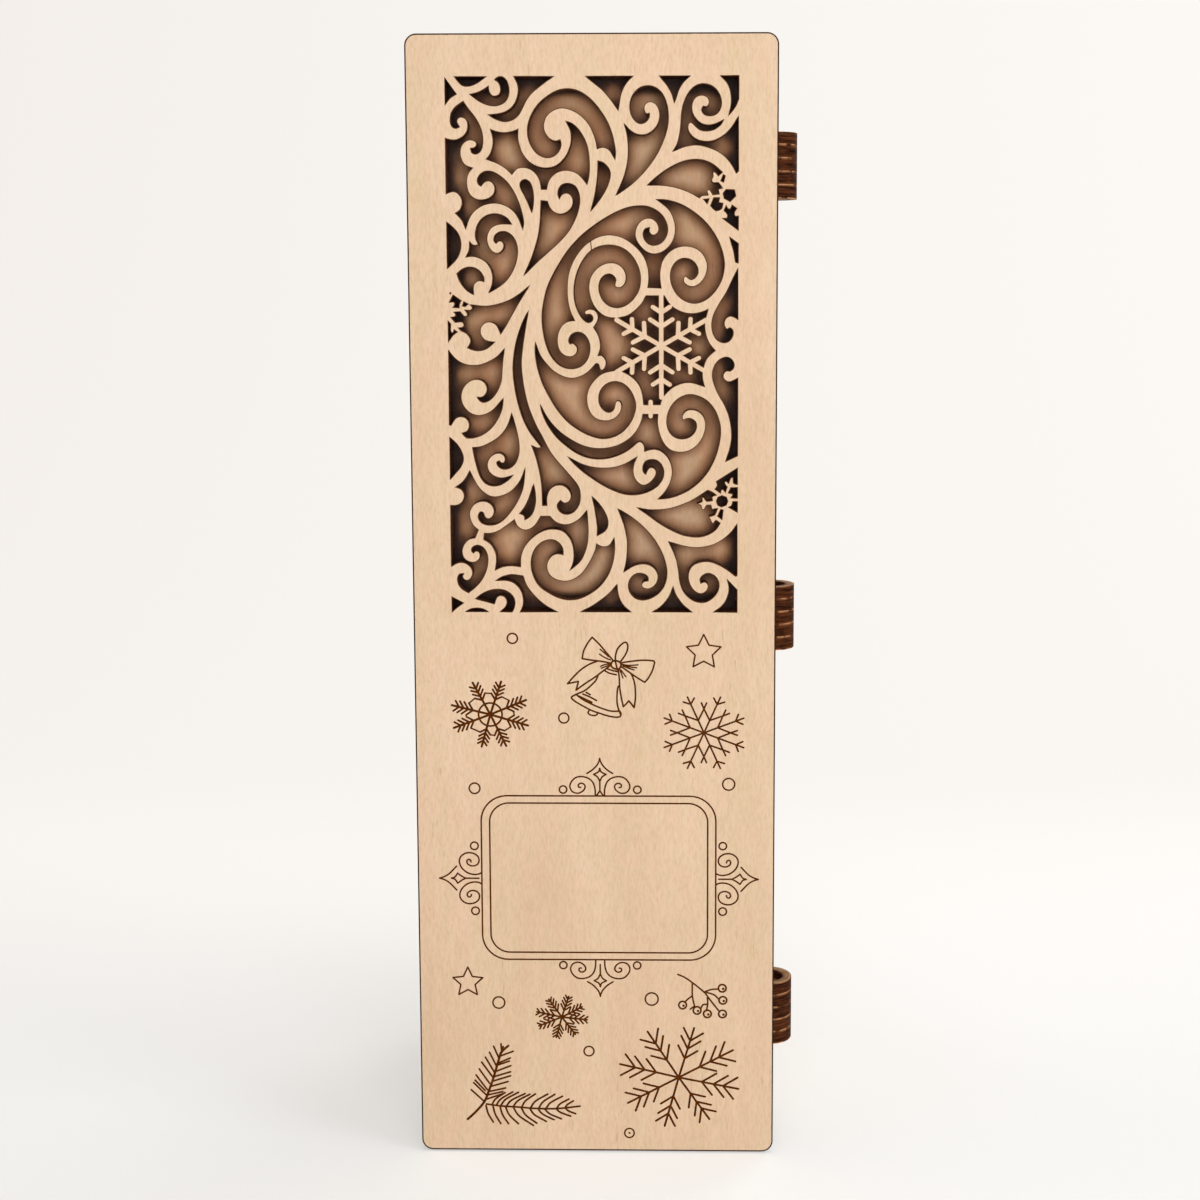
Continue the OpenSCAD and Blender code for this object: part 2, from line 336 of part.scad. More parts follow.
middle_right = [
    // heart that holds three scrolls
    [[19.0, 295.7, C], [22.0, 295.5], [25.6, 294.5], [29.0, 292.7], [32.3, 290.2], [35.2, 287.0],
     [37.4, 283.3], [38.7, 279.6], [39.1, 276.5], [38.7, 273.4], [37.7, 270.8], [36.0, 268.3],
     [33.6, 266.2], [30.7, 265.2], [28.0, 265.7], [25.7, 267.2], [24.0, 269.6], [23.2, 272.4],
     [23.5, 275.2], [25.0, 277.5], [27.3, 278.4], [29.5, 277.8], [31.0, 276.1], [31.3, 274.1],
     [30.3, 272.6], [29.2, 272.2], [28.4, 272.7], [27.6, 273.3], [27.0, 272.6], [27.1, 271.3],
     [28.3, 270.3], [30.1, 270.0], [32.1, 271.1], [33.6, 273.3], [34.2, 276.0], [33.6, 278.4],
     [32.2, 280.4], [30.0, 281.7], [27.3, 282.1], [24.6, 281.5], [22.3, 279.9], [20.7, 277.6],
     [20.0, 274.8], [20.0, 272.2], [20.3, 269.7, C], [16.5, 269.9, C], [16.8, 272.4], [16.6, 275.3],
     [15.8, 278.0], [14.6, 280.0], [13.1, 281.7], [11.3, 283.2], [9.0, 284.6], [6.5, 285.3],
     [4.2, 285.4], [1.9, 284.9], [-0.4, 283.7], [-2.5, 282.1], [-4.4, 279.9], [-6.0, 277.2],
     [-7.1, 274.2], [-7.6, 270.5], [-7.5, 266.5], [-6.8, 263.0], [-5.5, 260.1, C], [-7.3, 259.9],
     [-9.0, 258.9], [-10.2, 257.0], [-10.7, 254.6], [-10.5, 252.3], [-9.6, 250.5], [-8.0, 249.4],
     [-6.2, 249.3], [-4.9, 250.3], [-4.6, 251.8], [-5.2, 252.8], [-6.0, 253.4, C], [-6.8, 253.2],
     [-7.2, 254.2], [-6.6, 255.6], [-5.2, 256.5], [-3.4, 256.4], [-1.9, 255.1], [-1.0, 252.9],
     [-1.1, 250.3], [-2.0, 248.1], [-3.6, 246.5], [-5.8, 245.8], [-8.2, 246.0], [-10.5, 247.2],
     [-12.5, 249.6], [-13.9, 252.8], [-14.8, 257.0], [-15.1, 261.3], [-14.6, 265.4], [-13.5, 269.8],
     [-11.7, 273.7], [-9.4, 277.7], [-6.7, 281.5], [-3.5, 284.9], [0.0, 287.7], [3.6, 290.1],
     [7.3, 292.1], [10.9, 293.4], [14.2, 293.8], [16.8, 293.5], [19.4, 292.2], [21.3, 290.2],
     [22.3, 287.3], [21.8, 284.8], [20.4, 283.0], [18.4, 282.3], [16.7, 282.7], [15.4, 284.2],
     [15.1, 285.9], [15.7, 287.1], [16.9, 287.4, C], [16.8, 286.4], [17.4, 285.4], [18.4, 285.2],
     [19.4, 285.9], [19.8, 287.2], [19.3, 288.8], [18.0, 290.0], [16.2, 290.3], [14.4, 289.5],
     [13.1, 287.8], [12.6, 285.7], [13.0, 283.8], [14.1, 282.1], [15.6, 280.6], [17.5, 279.7],
     [19.6, 279.8], [21.6, 280.8], [23.3, 282.5], [24.4, 284.7], [24.7, 287.2], [24.3, 289.7],
     [23.1, 292.3], [21.3, 294.1]],
    // field round the large snowflake, with the scrolls that open into it
    [[7.5, 260.8, C], [5.6, 260.8], [3.6, 261.3], [1.8, 262.6], [0.2, 264.6], [-0.8, 267.2],
     [-1.2, 269.9], [-0.8, 272.5], [0.3, 274.5], [2.0, 276.1], [4.3, 277.1], [6.7, 277.1], [8.6, 276.1],
     [9.8, 274.3], [10.0, 272.1], [9.3, 270.5], [8.0, 269.7], [6.7, 270.1], [6.6, 271.0], [6.9, 272.1],
     [6.3, 273.2], [5.1, 273.8], [3.7, 273.5], [2.5, 272.3], [1.9, 270.3], [2.1, 268.3], [3.1, 266.1],
     [4.9, 264.5], [7.2, 263.9], [9.8, 264.6], [12.1, 266.5], [13.7, 269.1], [14.2, 272.0],
     [13.9, 274.8], [12.7, 277.7], [10.9, 280.0], [8.5, 281.6], [5.6, 282.3], [2.8, 282.1],
     [0.2, 281.1], [-1.8, 279.3], [-3.6, 276.5], [-4.9, 273.2], [-5.5, 269.5], [-5.3, 265.8],
     [-4.3, 262.7], [-2.9, 260.5], [-1.4, 259.5], [-0.2, 260.0], [0.0, 261.1], [-0.8, 261.9],
     [-1.9, 261.7, C], [-2.5, 262.4], [-2.0, 263.2], [-0.6, 263.5], [0.8, 263.0], [1.6, 261.7],
     [1.5, 260.0], [0.3, 258.0, C], [1.4, 256.3], [2.1, 254.3], [2.3, 252.0], [1.6, 249.7, C],
     [2.7, 249.7], [3.7, 248.6], [4.0, 247.2], [3.4, 245.7], [2.4, 245.2], [1.9, 246.1], [1.6, 247.0],
     [0.9, 247.2], [0.0, 246.2], [-1.6, 244.6], [-3.9, 243.3], [-6.6, 242.8], [-9.3, 243.5],
     [-11.9, 245.0], [-14.0, 247.2], [-15.9, 249.9], [-17.2, 253.6, C], [-17.2, 250.0], [-16.5, 245.8],
     [-15.2, 241.6], [-13.3, 237.7], [-10.9, 233.7], [-8.0, 230.2], [-4.8, 227.7], [-1.0, 225.7],
     [2.8, 224.8], [6.4, 225.5], [9.4, 227.5], [11.7, 230.7], [12.7, 234.3], [12.1, 237.3],
     [10.4, 240.1], [8.1, 241.6], [5.8, 241.8], [3.7, 240.9], [2.2, 239.1], [1.7, 237.0], [2.0, 235.0],
     [3.1, 233.4], [4.6, 232.7], [5.9, 233.3], [6.4, 234.6], [6.7, 235.8], [7.4, 236.2], [8.2, 235.8],
     [8.6, 234.6], [8.3, 233.0], [7.1, 231.3], [5.1, 230.2], [2.7, 230.1], [0.5, 230.9], [-1.1, 232.8],
     [-1.9, 235.3], [-1.9, 238.0], [-1.1, 240.3], [0.4, 242.4], [2.6, 244.2], [5.0, 245.0],
     [7.4, 245.2], [9.0, 244.8], [10.6, 244.0], [12.3, 242.7], [13.8, 240.9], [14.7, 238.6],
     [15.2, 235.0, C], [20.0, 235.0, C], [20.7, 237.0], [22.0, 238.6], [24.0, 240.3], [26.6, 241.4],
     [29.5, 241.6], [33.3, 240.4, C], [32.7, 242.4], [32.6, 244.5], [33.1, 246.7], [34.1, 249.0],
     [36.4, 251.1, C], [34.9, 252.9], [33.8, 255.2], [33.3, 257.9], [33.5, 260.4], [34.3, 263.3, C],
     [32.2, 262.4], [29.3, 262.0], [26.6, 262.5], [24.2, 263.7], [22.6, 265.2], [21.3, 267.3, C],
     [15.9, 267.3, C], [14.6, 265.0], [12.4, 262.8], [10.2, 261.4]],
    // comma on the right edge, below the middle
    [[40.0, 249.1], [41.3, 248.5], [42.1, 247.1], [41.8, 245.7], [40.9, 245.0, C], [39.8, 245.1],
     [38.9, 244.1], [38.9, 242.9], [39.9, 241.9], [41.2, 241.8], [43.2, 242.8, C], [43.2, 219.6, C],
     [39.7, 217.9, C], [40.9, 221.5], [41.5, 225.0], [41.3, 228.5], [40.6, 231.8], [39.3, 235.0],
     [37.5, 238.1], [36.2, 241.2], [35.7, 243.7], [36.1, 246.0], [37.2, 247.8], [38.6, 248.8]],
    // long crescent that ends in a scroll
    [[-15.9, 235.0, C], [-14.2, 231.7], [-12.1, 228.8], [-9.5, 226.3], [-6.4, 224.2], [-3.2, 222.6],
     [0.2, 221.8], [3.6, 221.8], [6.8, 222.5], [9.7, 223.9], [12.0, 225.8], [13.7, 228.2], [14.6, 230.4],
     [14.9, 232.0, C], [19.3, 232.0, C], [19.2, 229.2], [19.9, 225.8], [21.3, 223.0], [23.3, 221.2],
     [25.7, 220.6], [28.3, 220.9], [30.6, 222.2], [32.4, 224.3], [33.5, 227.0], [33.7, 229.6],
     [32.9, 231.7], [31.3, 233.1], [29.3, 233.5], [27.6, 233.0], [26.6, 231.6], [26.8, 230.1, C],
     [27.9, 230.7], [29.3, 230.7], [30.6, 229.8], [30.9, 228.2], [30.2, 226.5], [28.7, 225.2],
     [26.6, 224.7], [24.5, 225.2], [22.9, 226.7], [22.1, 229.2], [22.4, 232.2], [23.7, 234.9],
     [25.8, 236.9], [28.4, 237.9], [31.1, 237.6], [33.9, 236.2], [36.0, 233.9], [37.4, 231.0],
     [38.1, 227.6], [37.8, 223.8], [36.8, 219.9], [35.0, 215.9], [32.6, 212.6], [29.6, 209.9],
     [26.2, 208.0], [22.9, 206.9], [19.4, 206.5, C], [21.4, 208.5], [22.9, 211.0], [23.7, 213.8],
     [23.5, 216.6], [22.3, 219.2], [20.2, 221.1], [17.8, 221.6], [15.4, 221.0, C], [15.3, 222.6],
     [14.5, 223.7], [13.4, 223.8], [11.9, 222.5], [9.7, 220.9], [6.9, 219.6], [3.8, 218.8],
     [0.5, 218.7], [-2.5, 219.3], [-5.5, 220.7], [-8.4, 222.8], [-11.2, 225.4], [-13.6, 228.8],
     [-15.1, 232.0]]
];

lower_left = [
    // leaf with a scroll
    [[-24.5, 232.4, C], [-23.7, 229.5], [-22.9, 226.2], [-22.4, 222.7], [-22.6, 219.8], [-23.7, 217.2],
     [-25.5, 215.8], [-27.3, 215.6], [-28.7, 216.5], [-29.1, 217.6], [-28.4, 218.0, C], [-27.8, 217.4],
     [-27.0, 217.4], [-26.5, 218.3], [-26.8, 219.6], [-28.1, 220.4], [-29.8, 220.2], [-31.4, 218.9],
     [-32.1, 216.9], [-31.6, 214.9], [-30.0, 213.4], [-27.8, 212.8], [-26.0, 213.1], [-24.3, 213.7, C],
     [-26.0, 212.1], [-28.2, 210.8], [-30.5, 210.5], [-32.6, 211.3], [-34.1, 213.3], [-35.1, 216.2],
     [-35.8, 219.2], [-36.3, 222.0, C], [-33.8, 222.3], [-31.0, 223.5], [-28.5, 225.1], [-26.5, 227.3],
     [-25.2, 229.9]],
    // scrolls along the left edge
    [[-37.3, 215.0, C], [-38.5, 212.8], [-39.9, 211.2], [-41.6, 210.1, C], [-40.1, 209.6], [-39.1, 208.3],
     [-39.1, 206.6], [-40.1, 205.1], [-41.6, 204.5], [-43.2, 204.5, C], [-43.2, 186.0, C],
     [-41.5, 187.0], [-39.7, 187.2], [-38.0, 186.4], [-36.9, 184.9], [-36.9, 183.1], [-38.0, 181.7],
     [-39.3, 181.8], [-40.0, 182.8], [-39.6, 183.7, C], [-40.8, 183.5], [-41.4, 182.2], [-41.1, 180.4],
     [-40.0, 179.0], [-38.2, 177.9, C], [-36.0, 179.7], [-34.1, 181.9], [-32.8, 184.6], [-32.2, 187.5],
     [-32.5, 190.0], [-33.7, 191.8], [-35.4, 192.4], [-36.8, 191.7], [-37.0, 190.7], [-36.5, 190.1, C],
     [-35.8, 190.7], [-34.8, 190.4], [-34.4, 189.2], [-35.0, 187.8], [-36.5, 187.1], [-38.3, 187.5],
     [-39.6, 188.7], [-40.0, 190.8], [-39.3, 192.8], [-37.8, 194.3], [-36.0, 194.7, C],
     [-35.0, 197.1, C], [-36.5, 198.4], [-37.5, 200.6], [-37.5, 202.8], [-36.3, 204.8], [-34.3, 205.8],
     [-32.2, 205.7], [-30.6, 204.5], [-30.0, 202.6], [-30.7, 201.0], [-32.0, 200.4], [-33.0, 201.1],
     [-33.4, 202.3], [-34.3, 202.5], [-34.9, 201.3], [-34.4, 199.8], [-33.0, 198.8], [-31.0, 198.6],
     [-28.9, 199.1], [-26.7, 200.8], [-24.6, 203.4], [-22.7, 206.5], [-21.3, 210.2], [-20.6, 215.9, C],
     [-21.5, 213.2], [-23.1, 210.6], [-25.2, 208.6], [-27.8, 207.4], [-30.5, 207.1], [-33.0, 208.3],
     [-35.0, 210.4], [-36.4, 213.0]],
    // field between the scrolls
    [[-33.1, 196.0, C], [-31.2, 196.0], [-28.9, 196.7], [-26.6, 198.2], [-24.0, 200.1, C], [-23.3, 198.4],
     [-21.6, 197.1], [-19.6, 197.2], [-17.7, 198.5], [-16.0, 201.2, C], [-13.3, 201.2, C],
     [-11.9, 199.7], [-9.9, 198.8], [-7.6, 198.7], [-5.3, 199.7], [-3.6, 201.1], [-2.1, 203.0, C],
     [-1.9, 199.8], [-1.8, 196.6], [-2.0, 193.5], [-2.8, 190.3], [-4.3, 187.5], [-7.3, 184.8, C],
     [-6.3, 187.0], [-6.0, 189.7], [-6.4, 192.7], [-7.5, 195.0], [-9.4, 196.8], [-11.8, 197.4],
     [-14.4, 197.2], [-17.0, 196.0], [-19.5, 194.0], [-21.3, 191.6], [-22.2, 188.9], [-22.3, 185.9, C],
     [-25.0, 186.2], [-27.6, 185.9], [-29.9, 184.9, C], [-29.5, 187.7], [-29.8, 190.3],
     [-31.2, 192.8], [-33.3, 194.2, C]],
    // drop
    [[-18.1, 211.0, C], [-17.7, 208.5], [-17.6, 205.7], [-18.2, 203.0], [-19.3, 201.2], [-20.8, 200.3, C],
     [-21.0, 201.5], [-22.3, 202.1, C], [-20.9, 203.9], [-19.7, 206.3], [-18.7, 209.1]],
    // crescent over the lower edge
    [[-29.8, 181.6, C], [-27.7, 182.8], [-25.0, 183.4], [-21.6, 183.0, C], [-20.7, 180.4],
     [-19.0, 177.9], [-16.6, 175.4], [-14.1, 173.5], [-11.1, 172.0, C], [-22.4, 172.0, C],
     [-21.6, 173.9], [-21.5, 176.3], [-22.3, 178.8], [-24.1, 180.8], [-26.6, 181.7]],
    // hook on the lower edge
    [[-36.0, 176.0, C], [-34.0, 177.5], [-31.5, 178.6], [-28.9, 178.9], [-26.5, 178.3], [-24.8, 176.9],
     [-24.1, 175.0], [-24.4, 173.2], [-25.0, 172.0, C], [-28.6, 172.0, C], [-27.0, 173.4],
     [-26.4, 175.1], [-27.0, 176.5], [-28.3, 177.1], [-29.6, 176.5], [-30.4, 174.5, C],
     [-32.2, 175.0], [-34.1, 175.5]],
    // corner pieces
    [[-43.2, 176.5, C], [-39.8, 174.7, C], [-41.8, 173.3], [-43.2, 172.0, C]],
    [[-39.1, 172.0, C], [-37.6, 172.8], [-35.7, 173.1], [-33.7, 172.8], [-32.2, 172.0, C]]
];

lower_middle = [
    // small leaf
    [[-0.5, 207.2, C], [1.2, 205.5], [2.8, 203.3], [4.0, 200.8], [4.2, 198.6], [3.3, 196.8],
     [1.0, 195.4, C], [1.1, 198.0], [0.6, 202.0], [0.0, 205.3]],
    // cup with a scroll
    [[-7.7, 219.3, C], [-5.7, 218.1], [-3.2, 216.9], [-0.2, 216.1], [2.9, 215.8], [6.0, 216.0],
     [8.8, 216.8], [11.0, 217.9], [13.1, 219.3, C], [12.1, 217.2], [11.8, 214.8], [12.3, 212.7],
     [13.6, 211.2], [15.2, 210.6], [16.9, 211.4], [18.4, 213.0], [18.9, 214.7], [18.2, 215.9],
     [17.0, 216.1], [16.2, 215.3], [15.7, 214.1, C], [15.0, 214.8], [14.9, 216.3], [15.6, 217.8],
     [17.1, 218.4], [18.9, 218.2], [20.4, 216.9], [21.1, 214.8], [20.7, 212.6], [19.3, 210.6],
     [17.3, 209.2], [14.7, 208.2], [11.9, 207.8], [9.0, 208.1], [5.9, 209.2], [2.7, 210.8],
     [-0.4, 212.8], [-3.4, 215.0], [-5.7, 217.1]],
    // large scroll
    [[6.1, 194.7, C], [6.2, 191.5], [5.8, 188.1], [4.8, 184.7], [3.2, 181.8], [1.0, 179.3],
     [-1.9, 177.3], [-5.0, 176.0], [-8.3, 175.8], [-11.3, 176.6], [-13.9, 178.0], [-16.2, 179.6],
     [-17.8, 181.8], [-18.8, 184.6], [-19.0, 187.4], [-18.4, 190.1], [-17.0, 192.3], [-14.9, 193.7],
     [-12.6, 194.1], [-10.7, 193.2], [-9.5, 191.5], [-9.4, 189.6, C], [-11.0, 189.9], [-12.6, 189.4],
     [-13.9, 187.9], [-14.4, 186.0], [-14.0, 184.1], [-12.7, 182.5], [-10.6, 181.6], [-8.1, 181.4],
     [-5.6, 182.3], [-3.5, 184.0], [-1.8, 186.3], [-0.4, 188.9], [0.5, 191.0], [0.8, 192.8, C],
     [2.0, 192.1], [3.6, 191.9], [5.0, 192.7]],
    // leaf with a scroll
    [[7.3, 203.5, C], [10.0, 201.9], [12.9, 199.8], [15.6, 197.3], [18.0, 194.5], [20.1, 191.0],
     [21.5, 187.3], [22.0, 183.6], [21.3, 180.4], [19.6, 177.9], [17.2, 176.3], [14.6, 175.7],
     [12.3, 176.4], [10.8, 178.2], [10.4, 180.5], [11.3, 182.6], [13.0, 183.8], [14.9, 183.7],
     [16.2, 182.8], [16.3, 181.6, C], [15.1, 181.4], [14.3, 180.5], [14.7, 179.5], [16.1, 179.0],
     [17.8, 179.6], [19.1, 181.2], [19.4, 183.3], [18.5, 185.2], [16.7, 186.5], [14.3, 186.8],
     [11.8, 186.1], [9.0, 184.3, C], [9.7, 187.0], [10.1, 190.5], [10.1, 194.0], [9.4, 197.8], [8.4, 200.8]],
    // triangles at the lower edge
    [[6.9, 180.4, C], [7.1, 177.9], [7.9, 175.5], [9.2, 173.6], [11.1, 172.0, C], [-4.2, 172.0, C],
     [-1.0, 173.6], [2.0, 175.6], [4.6, 177.7]],
    [[23.9, 179.8, C], [24.5, 177.6], [25.7, 175.7], [27.3, 173.8], [29.6, 172.0, C], [17.6, 172.0, C],
     [19.9, 173.4], [21.8, 175.4], [23.1, 177.5]]
];

lower_right = [
    // the lower small snowflake's own openings
    [[43.2, 215.8, C], [37.0, 211.8, C], [37.3, 210.6], [36.6, 209.5, C], [38.1, 208.4, C],
     [38.4, 209.4], [39.0, 209.4], [39.6, 208.6, C], [40.1, 210.1, C], [39.3, 211.3], [39.7, 212.0],
     [40.6, 211.4, C], [41.2, 212.9], [42.0, 213.0], [42.1, 211.4], [43.2, 211.0, C]],
    [[38.3, 203.3, C], [38.9, 203.1, C], [38.6, 200.4, C], [37.4, 201.3, C]],
    [[37.5, 207.0, C], [38.6, 207.5, C], [39.9, 207.0, C], [40.3, 205.8, C], [39.8, 204.7, C],
     [38.5, 204.2, C], [37.4, 204.7, C], [37.0, 205.9, C]],
    [[41.3, 209.9, C], [43.2, 209.9, C], [43.2, 206.8, C], [41.4, 206.9, C], [42.0, 208.0], [40.6, 208.4, C]],
    [[41.9, 205.7, C], [43.2, 205.7, C], [43.2, 202.6, C], [40.7, 204.0, C], [41.6, 204.5]],
    // leaf that ends at the lower small snowflake
    [[13.1, 203.9, C], [16.0, 203.3], [19.5, 203.2], [23.0, 203.6], [26.5, 204.7], [30.0, 206.3],
     [34.3, 209.1, C], [35.6, 208.6], [36.8, 207.7, C], [35.6, 207.3], [35.7, 206.1, C], [34.0, 205.9],
     [33.3, 206.9], [32.5, 207.1], [32.6, 205.8], [31.0, 205.1, C], [32.3, 204.5], [32.5, 203.4],
     [33.3, 203.3], [34.0, 204.5], [35.2, 204.6, C], [35.6, 203.3], [36.0, 203.4], [37.2, 203.6, C],
     [36.4, 201.7], [34.8, 201.3], [34.9, 200.6], [35.6, 199.2], [36.2, 199.2], [36.8, 200.0],
     [38.0, 199.2, C], [36.9, 197.4], [35.0, 196.0], [32.4, 195.1], [29.4, 195.1], [26.3, 195.8],
     [23.0, 197.3], [19.6, 199.3], [16.2, 201.8]],
    // scroll in the lower right corner
    [[43.2, 198.9, C], [41.7, 196.7], [39.6, 194.7], [37.0, 193.0], [33.9, 192.0], [30.5, 191.7],
     [27.0, 192.2], [22.6, 193.5, C], [23.9, 190.9], [25.0, 187.8], [25.6, 184.6], [26.0, 181.3],
     [27.0, 178.5], [28.9, 176.3], [31.3, 175.1], [33.9, 175.2], [36.2, 176.7], [37.6, 179.0],
     [37.6, 181.4], [36.4, 183.1], [34.6, 183.9], [33.0, 183.3], [32.1, 182.1], [32.3, 180.9, C],
     [33.3, 181.3], [34.2, 180.9], [34.6, 179.8], [34.0, 178.4], [32.5, 177.6], [30.8, 178.1],
     [29.2, 179.9], [28.4, 182.6], [28.8, 184.9], [30.2, 186.6], [32.4, 187.4], [34.9, 187.5],
     [37.7, 186.5], [40.4, 184.9], [42.7, 183.1, C], [43.2, 183.2, C]],
    // corner piece
    [[40.3, 182.0, C], [43.2, 178.8, C], [43.2, 172.0, C], [36.1, 172.0, C], [38.1, 173.3],
     [39.8, 175.3], [40.8, 178.1], [40.8, 180.1]]
];

cut_outs = concat(
    upper_left, upper_middle, upper_right, middle_left, middle_right, lower_left, lower_middle, lower_right
);

// The large snowflake, and the bud on the bar under it, on the same drawing
flake_middle = [20.4, 252.5];
flake_stems = 6;
bud_low = [17.2, 231.5];
bud_h = 4.3;

// How much wider and taller the real window is than the drawing
wider = window_w / drawing_w;
taller = window_h / drawing_h;

// A drawing point on the real window
function placed(p) = [p[0] * wider, window_bottom + (p[1] - drawing_bottom) * taller];

function sharp(p) = len(p) > 2;

// Point at t along the smooth curve from b to c, where a comes before them and d after them
function curve_point(a, b, c, d, t) =
    (2 * b + (c - a) * t + (2 * a - 5 * b + 4 * c - d) * t ^ 2 + (3 * b - a - 3 * c + d) * t ^ 3) / 2;

// The whole outline through a list of drawing points
function outline(points) = let (n = len(points)) [
    for (i = [0 : n - 1])
        let (
            from = points[i],
            to = points[(i + 1) % n],
            b = placed(from),
            c = placed(to),
            a = sharp(from) ? 2 * b - c : placed(points[(i + n - 1) % n]),
            d = sharp(to) ? 2 * c - b : placed(points[(i + 2) % n]),
            steps = sharp(from) && sharp(to) ? 1 : max(2, ceil(norm(c - b) / cut_step))
        )
        for (s = [0 : steps - 1]) curve_point(a, b, c, d, s / steps)
];

// ---- Helpers ----------------------------------------------------------------------------
// Stands a flat drawing up, with its front at y and its thickness going back
module upright(y, t) {
    translate([0, y + t, 0]) rotate([90, 0, 0]) linear_extrude(t) children();
}

// A box given by its two ends along each axis
module span(x, y, z) {
    translate([x[0], y[0], z[0]]) cube([x[1] - x[0], y[1] - y[0], z[1] - z[0]]);
}

// Where finger number i starts along an edge, and how long one is
function finger_pitch(edge, count) = edge / (2 * count + 1);
function finger_start(edge, count, i) = (2 * i + 1) * finger_pitch(edge, count);

// Bottom of ring number i of a hinge whose top face is at height top, counted from the top
function ring_z(top, i) = top - hinge_h + (rings - i) * ring_pitch;

// The rings of the door lie between those of the box
function on_door(i) = i % 2 == 0;

module stroke(length, width) {
    translate([0, -width / 2]) square([length, width]);
    translate([length, 0]) circle(d = width);
}

module rounded_rectangle(x, z, r) {
    translate([-x, z[0] + r]) square([2 * x, z[1] - z[0] - 2 * r]);
    translate([-x + r, z[0]]) square([2 * (x - r), z[1] - z[0]]);
    for (sx = [-1, 1]) for (cz = [z[0] + r, z[1] - r]) translate([sx * (x - r), cz]) circle(r);
}

// ---- Door --------------------------------------------------------------------------------
module twigs(at, length) {
    for (side = [-1, 1]) translate([at, 0]) rotate(side * flake_angle) stroke(length, flake_stroke);
}

// Each stem reaches as far as the window's own width and height call for
module snowflake() {
    for (i = [0 : flake_stems - 1]) {
        a = 90 + i * 360 / flake_stems;
        reach = [cos(a) * wider, sin(a) * taller];
        size = norm(reach);
        rotate(atan2(reach[1], reach[0])) {
            stroke(flake_stem * size, flake_stroke);
            twigs(flake_inner_at * size, flake_inner * size);
            twigs(flake_outer_at * size, flake_outer * size);
        }
    }
}

module bud() {
    circle(d = flake_stroke);
    rotate(90) stroke(bud_h * taller, flake_stroke);
}

module front_panel() {
    color("#ecd2a4") upright(front_y, ply) {
        difference() {
            rounded_rectangle(panel_w / 2, [door_lift, panel_h], panel_corner);
            for (cut = cut_outs) polygon(outline(cut));
        }
        translate(placed(flake_middle)) snowflake();
        translate(placed(bud_low)) bud();
    }
}

module door_left_stile() {
    color("#d8b883") span([-box_w / 2, -window_x], [stile_y, backing_y], [door_lift, box_h]);
}

module door_right_stile() {
    color("#d8b883") span([window_x, box_w / 2], [stile_y, backing_y], [door_lift, box_h]);
}

module door_rail(z) {
    color("#d8b883") span([-window_x + glue_gap, window_x - glue_gap], [stile_y, backing_y], z);
}

module door_top_rail() {
    door_rail([window_top, box_h]);
}

module door_middle_rail() {
    door_rail([window_bottom - rail_h, window_bottom]);
}

module door_foot_rail() {
    door_rail([door_lift, door_lift + foot_rail_h]);
}

module door_backing() {
    color("#b98d5c") difference() {
        span([-box_w / 2, box_w / 2], [backing_y, door_back_y], [door_lift, box_h]);
        for (top = hinge_tops) for (i = [1 : rings]) if (on_door(i))
            span(
                [tongue_end_x - glue_gap, box_w],
                [backing_y - little, door_back_y + little],
                [ring_z(top, i) - glue_gap, ring_z(top, i) + ring_t + glue_gap]
            );
        for (z = magnet_heights) translate([magnet_x, door_back_y - pocket_depth, z])
            rotate([-90, 0, 0]) cylinder(r = pocket_r, h = pocket_depth + little);
    }
}

// ---- Box ---------------------------------------------------------------------------------
// The fingers of the back panel that reach through the side walls
module side_fingers_at(x, grow) {
    edge = box_h;
    for (i = [0 : side_fingers - 1])
        span(
            x,
            [back_y - ply - grow, back_y + grow],
            [finger_start(edge, side_fingers, i) - grow,
             finger_start(edge, side_fingers, i) + finger_pitch(edge, side_fingers) + grow]
        );
}

// The fingers of the top or the bottom that reach through the side walls
module end_fingers_at(x, z, grow) {
    edge = back_y - box_front_y;
    for (i = [0 : end_fingers - 1])
        span(
            x,
            [box_front_y + finger_start(edge, end_fingers, i) - grow,
             box_front_y + finger_start(edge, end_fingers, i) + finger_pitch(edge, end_fingers) + grow],
            [z[0] - grow, z[1] + grow]
        );
}

// The fingers of the back panel that reach through the top or the bottom
module back_fingers_at(z, grow) {
    edge = 2 * inner_x;
    for (i = [0 : back_fingers - 1])
        span(
            [-inner_x + finger_start(edge, back_fingers, i) - grow,
             -inner_x + finger_start(edge, back_fingers, i) + finger_pitch(edge, back_fingers) + grow],
            [back_y - ply - grow, back_y + grow],
            z
        );
}

module side_wall(x) {
    difference() {
        span(x, [box_front_y, back_y], [0, box_h]);
        side_fingers_at([x[0] - little, x[1] + little], glue_gap);
        end_fingers_at([x[0] - little, x[1] + little], [0, ply], glue_gap);
        end_fingers_at([x[0] - little, x[1] + little], [box_h - ply, box_h], glue_gap);
    }
}

module left_wall() {
    color("#dcbd8a") side_wall([-box_w / 2, -inner_x]);
}

module right_wall() {
    color("#dcbd8a") difference() {
        side_wall([inner_x, box_w / 2]);
        for (top = hinge_tops) for (i = [1 : rings]) if (!on_door(i))
            span(
                [inner_x - little, box_w / 2 + little],
                [box_front_y - little, body_tongue_y + body_tongue_w + glue_gap],
                [ring_z(top, i) - glue_gap, ring_z(top, i) + ring_t + glue_gap]
            );
    }
}

module end_wall(z) {
    inner = inner_x - glue_gap;
    difference() {
        span([-inner, inner], [box_front_y, back_y], z);
        back_fingers_at([z[0] - little, z[1] + little], glue_gap);
    }
    end_fingers_at([-box_w / 2, -inner + little], z, 0);
    end_fingers_at([inner - little, box_w / 2], z, 0);
}

module top_wall() {
    color("#dcbd8a") end_wall([box_h - ply, box_h]);
}

module bottom_wall() {
    color("#dcbd8a") end_wall([0, ply]);
}

